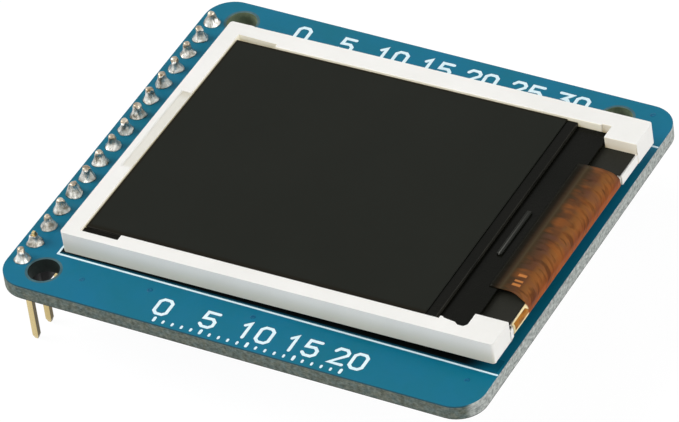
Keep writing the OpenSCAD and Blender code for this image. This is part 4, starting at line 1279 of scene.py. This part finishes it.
# %% Driver chip
CHIP_U, CHIP_V, CHIP_LENGTH, CHIP_WIDTH, CHIP_THICK = 40.95, 12.27, 6.5, 0.5, 0.25
EDGE_RISE, EDGE_FALL = (0.17, 0.24), (0.27, 0.35)
CHIP_SHADES = [(0.0, (96, 96, 92)), (0.10, (84, 84, 80)), (0.55, (62, 62, 58)), (1.0, (36, 37, 33))]
tree, socket = base_colour(looks["ground_silicon"])[:2]
over_bar, down_bar = display_place(tree, (CHIP_U, CHIP_V, LEDGE_Z))[:2]
lit_edge = ramp(tree, calc(tree, "DIVIDE", down_bar, CHIP_LENGTH), CHIP_SHADES)
band = times(tree, step_up(tree, over_bar, *EDGE_RISE), step_down(tree, over_bar, *EDGE_FALL))
tree.links.new(mix(tree, band, linear(27, 28, 24), lit_edge), socket)
chip_outline = flat_box((CHIP_U, CHIP_V), (CHIP_U + CHIP_WIDTH, CHIP_V + CHIP_LENGTH))
chip = plate(chip_outline, LEDGE_Z, LEDGE_Z + CHIP_THICK, 0.06)
piece("chip", chip, [looks["ground_silicon"]], on_display, ("driver_chip",))
print("chip", CHIP_LENGTH, "by", CHIP_WIDTH, "mm")

# %% [markdown]
# ## Flat cable
# The cable leaves the glass ledge, arches over the deck, turns down the frame's end and folds back
# under the display onto the board. Its middle line is a Bezier curve, then an arc of a circle, then a
# straight. All of it lies in the plane of u and w, and the cable is swept across it.

# %% Middle line of the cable
CABLE_THICK, CABLE_PLAY = 0.1, 0.03
BEND_U, FOLD_W, FOLD_RADIUS, DROP, TAIL = 46.68, 0.27, 0.35, 4.0, 4.0
LIFT = float(display_origin[2] - BOARD_TOP)


def board_height(u):
    """Height of the board's top at u, in display-local millimetres: minus (lift + u sin lean) / cos lean."""
    return -(LIFT + u * math.sin(lean)) / math.cos(lean)


def bezier(points, steps):
    """Cubic Bezier: the sum of (1-t)^3, 3(1-t)^2 t, 3(1-t)t^2 and t^3 times the four points."""
    t = np.linspace(0, 1, steps)[:, None]
    a, b, c, d = np.array(points, float)
    return (1 - t) ** 3 * a + 3 * (1 - t) ** 2 * t * b + 3 * (1 - t) * t * t * c + t ** 3 * d


def cable_line():
    """Bonded straight, arch, a quarter circle round the frame's lower edge, drop to the board, tail."""
    crest = LEDGE_Z + CABLE_THICK / 2
    start = GLASS_END + 0.7
    arch = bezier([(start, crest), (start + 1.7, crest), (BEND_U, crest - 0.26), (BEND_U, 0.756)], 34)
    fold_u = BEND_U - FOLD_RADIUS
    angle = -np.linspace(0, math.pi / 2, 12)
    fold = np.column_stack([fold_u + FOLD_RADIUS * np.cos(angle), FOLD_W + FOLD_RADIUS * np.sin(angle)])
    along_board = np.array([math.cos(lean), -math.sin(lean)])
    landing = np.array([fold_u - DROP, board_height(fold_u - DROP) + CABLE_THICK / 2 + CABLE_PLAY])
    drop = bezier([fold[-1], fold[-1] - [0.5 * DROP, 0], landing + 0.45 * DROP * along_board, landing], 16)
    tail = landing - np.linspace(0, TAIL, 4)[1:, None] * along_board
    straight = np.column_stack([np.linspace(GLASS_END - 0.9, start, 8)[:-1], np.full(7, crest)])
    return np.concatenate([straight, arch, fold, drop[1:], tail])


middle = cable_line()
run = np.concatenate([[0], np.cumsum(np.linalg.norm(np.diff(middle, axis=0), axis=1))])
print("cable runs", round(float(run[-1]), 2), "mm")

# %% [markdown]
# The film is that line with a thickness on both sides, carried across. Its front edge narrows a little and
# then, past the arch, steps out to a shoulder. A ripple on the arch, a sine across it, keeps the highlight
# from being one straight line. The map of each point is its place along and across the cable.

# %% Cable
CABLE_BACK, CABLE_FRONT, SHOULDER_FRONT, NARROWING = 26.8, 8.0, 4.4, 0.55
RIPPLE, RIPPLE_RATE = 0.03, 0.9


def smooth_step(x, low, high):
    """0 below low, 1 above high, 3t^2 - 2t^3 between."""
    t = np.clip((x - low) / (high - low), 0, 1)
    return t * t * (3 - 2 * t)


def cable_chunks(columns=40):
    """A ring of points round the film at each step: the top from front to back, then the underside back."""
    step = np.gradient(middle, axis=0)
    step /= np.linalg.norm(step, axis=1)[:, None]
    normal = np.column_stack([-step[:, 1], step[:, 0]])
    to_shoulder = CABLE_FRONT - NARROWING - SHOULDER_FRONT
    front = CABLE_FRONT - NARROWING * smooth_step(run, 2.2, 4.3)
    front = (front - to_shoulder * smooth_step(run, TAB_START - 0.06, TAB_START + 0.05))[:, None]
    across = front + (CABLE_BACK - front) * np.linspace(0, 1, columns)[None]
    across = np.concatenate([across, across[:, ::-1]], 1)
    side = np.concatenate([np.ones(columns), -np.ones(columns)]) * CABLE_THICK / 2
    on_arch = smooth_step(run, 1.2, 2.2) * (1 - smooth_step(run, 3.2, 4.2))
    ripple = RIPPLE * np.sin(across * RIPPLE_RATE + run[:, None]) * on_arch[:, None]
    place = middle[:, None, :] + (side[None, :, None] + ripple[..., None]) * normal[:, None, :]
    points = np.stack([place[..., 0], across, place[..., 1]], -1).reshape(-1, 3)
    uv = np.stack([np.broadcast_to(run[:, None], across.shape), across], -1).reshape(-1, 2)
    count, rings = 2 * columns, len(middle)
    faces = ring_faces(rings, count)[:, ::-1]
    j = np.arange(columns - 1)
    start = np.stack([j, j + 1, count - 2 - j, count - 1 - j], 1)
    end = start[:, ::-1] + (rings - 1) * count
    return [(points, faces, True, 0, uv), (points, start, False, 0, uv), (points, end, False, 0, uv)]


cable = piece("flat_cable", cable_chunks(), [looks["cable_film"]], on_display, ("display_cable",))
print("cable faces:", len(cable.data.polygons))

# %% [markdown]
# ## Card socket and small parts
# The metal shell is bent from one sheet, so a copy of the CAD's cover and walls gets small bevels, like
# the frame. The plastic inside and the regulator's body get the same.

# %% Socket and regulator
COPIES = [
    ("socket_shell", ["card_socket_cover", "card_socket_walls"], 0.05, "socket_steel", "socket_steel", 2),
    ("socket_rails", ["card_socket_rails"], 0.08, "black_moulding", "black_plastic", 2),
    ("socket_floor_plate", ["card_socket_floor"], 0.05, "black_moulding", "black_plastic", 1),
    ("regulator_body", ["voltage_regulator"], 0.08, "black_moulding", "black_plastic", 2),
]
for copy in COPIES:
    bevelled_copy(*copy)
print("copies with soft edges:", [copy[0] for copy in COPIES])

# %% [markdown]
# A chip resistor or capacitor is a body with a metal cap round each end: three rounded boxes, each with
# its own finish. A resistor's body is white ceramic with a dark glaze on its face, so the sides of its
# body box get another finish than its faces.

# %% Chip parts
CAP_SHARE, BODY_INSET, LACQUER_GAP = 0.2, 0.03, 0.005


def chip_part(centre, size, turned, body_side):
    """A body (finish 0) between two caps (finish 1). Turned lies along X; size is (width, length, height)."""
    width, length, height = size
    end, cap = length / 2, length * CAP_SHARE
    body_end = end - cap * 0.8
    chunks = []
    for start, stop, inset, face, wall in ((-end, cap - end, 0.0, 1, 1), (end - cap, end, 0.0, 1, 1),
                                           (-body_end, body_end, BODY_INSET, 0, body_side)):
        low, high = np.array([inset - width / 2, start]), np.array([width / 2 - inset, stop])
        if turned:
            low, high = low[::-1], high[::-1]
        shape = rounded_rectangle(low + centre, high + centre, 0.05, 2)
        finishes = (face, wall, face, wall)
        low, high = BOARD_BOTTOM - height + inset, BOARD_BOTTOM - LACQUER_GAP
        chunks += plate(shape, low, high, 0.05, (), 2, finishes)
    return chunks


CAPACITORS, CAPACITOR_SIZE = ((4.2, 9), (10.8, 9), (7.5, -12)), (1.25, 2.0, 0.8)
RESISTORS, RESISTOR_SIZE = [(7.5, 4.5 - n * 2.6) for n in range(5)], (0.8, 1.6, 0.45)
CAPACITOR_LOOKS = [looks["capacitor_ceramic"], looks["tinned_copper"]]
RESISTOR_LOOKS = [looks["resistor_glaze"], looks["tinned_copper"], looks["resistor_alumina"]]
for name, node, spots, size, turned, body_side, part_looks, slot in (
        ("capacitors", "ceramic_capacitors", CAPACITORS, CAPACITOR_SIZE, False, 0, CAPACITOR_LOOKS,
         "capacitor_ceramic"),
        ("resistors", "chip_resistors", RESISTORS, RESISTOR_SIZE, True, 2, RESISTOR_LOOKS, "resistor_body")):
    chunks = [c for x, y in spots for c in chip_part(np.array([pin_x + x, y]), size, turned, body_side)]
    piece(name, chunks, part_looks, replaces=(node,))
    print(name + ":", len(spots))

# %% [markdown]
# ## Pieces that stay as the CAD model has them
# The films, the light guide, the tape, the contacts and the leads are simple shapes that are right as they
# are. They only need their finish, which goes into the object's material slot.

# %% Finishes of the CAD pieces
CAD_LOOKS = {
    "reflector_sheet": "mirror_film", "light_guide": "clear_acrylic", "diffuser_film": "diffuser_film",
    "lower_prism_film": "prism_film", "upper_prism_film": "prism_film", "led_strip": "capacitor_ceramic",
    "backlight_leds": "diode_case", "rim_tape": "black_tape", "rear_polarizer": "rear_polarizer_film",
    "cable_solder": "tinned_copper", "foam_pads": "foam_tape", "card_contacts": "gold_plate",
    "regulator_leads": "tinned_copper",
}
for name, look in CAD_LOOKS.items():
    for mesh_slot in nodes[name].material_slots:
        mesh_slot.link = "OBJECT"
        mesh_slot.material = looks[look]
print("CAD pieces with a new finish:", len(CAD_LOOKS))

# %% [markdown]
# ## Floor, light and background
# A large pale floor and an even white surround light the object softly from all sides. For the camera,
# and for rays that reflect in metal or pass through glass, the surround is plain white; its light on the
# object is weaker, so pale plastic keeps its shading. The lamps are far away and wide, so their shadows
# are soft: each is a sun with a wide angle, given by the direction that it shines from.

# %% Surround and lamps
AMBIENT, WHITE, LAMP_SHINE = 0.22, 1.0, 0.2
LAMPS = [
    ("right_lamp", (1.0, 0.15, 0.35), 60, 2.1),
    ("front_lamp", (0.1, -1.0, 0.45), 60, 0.78),
    ("left_lamp", (-0.9, -0.2, 0.70), 40, 2.65),
]


def seen(tree):
    """1 for the camera's rays and for rays that reflect or pass through, 0 for light on the object."""
    rays = add(tree, "LightPath").outputs
    return chain(tree, "MAXIMUM", rays["Is Camera Ray"], rays["Is Glossy Ray"], rays["Is Transmission Ray"])


def make_lamp(name, direction, angle, energy):
    """A sun whose +Z axis points to where it shines from; its X axis is level."""
    data = bpy.data.lights.new(name, "SUN")
    data.energy, data.angle, data.specular_factor = energy, math.radians(angle), LAMP_SHINE
    back = np.array(direction) / np.linalg.norm(direction)
    side = np.cross([0, 0, 1], back)
    side /= np.linalg.norm(side)
    stand(in_scene(name, data), side, np.cross(back, side), back)


world = bpy.data.worlds.new("surround")
bpy.context.scene.world = world
world.use_nodes = True
tree = world.node_tree
strength = remap(tree, seen(tree), AMBIENT, WHITE)
feed(tree, tree.nodes["Background"], {"Color": PLAIN_WHITE, "Strength": strength})
for lamp in LAMPS:
    make_lamp(*lamp)
print("lamps:", len(LAMPS))

# %% [markdown]
# The floor is a large square of pale paper. Where the camera sees it, it is mostly an even glow, so that
# it comes out white, and a small share of plain paper keeps the object's shadow on it.

# %% Floor
FLOOR_HALF, PAPER_GREY, PAPER_GLOW, GLOW_SHARE = 3.0, 0.66, 1.08, 0.88
floor_mesh = bpy.data.meshes.new("floor")
floor_corners = [(x * FLOOR_HALF, y * FLOOR_HALF, 0) for x, y in ((-1, -1), (1, -1), (1, 1), (-1, 1))]
floor_mesh.from_pydata(floor_corners, [], [(0, 1, 2, 3)])
floor = in_scene("floor", floor_mesh)
paper = bpy.data.materials.new("floor_paper")
paper.use_nodes = True
tree = paper.node_tree
tree.nodes.clear()
lit = add(tree, "BsdfDiffuse", {"Color": (PAPER_GREY, PAPER_GREY, PAPER_GREY, 1)}).outputs[0]
glow = add(tree, "Emission", {"Color": PLAIN_WHITE, "Strength": PAPER_GLOW}).outputs[0]
shown = add(tree, "MixShader", {0: times(tree, seen(tree), GLOW_SHARE), 1: lit, 2: glow}).outputs[0]
add(tree, "OutputMaterial", {"Surface": shown})
floor_mesh.materials.append(paper)
bpy.context.scene.view_settings.view_transform = "Standard"
print("floor:", 2 * FLOOR_HALF, "m square")
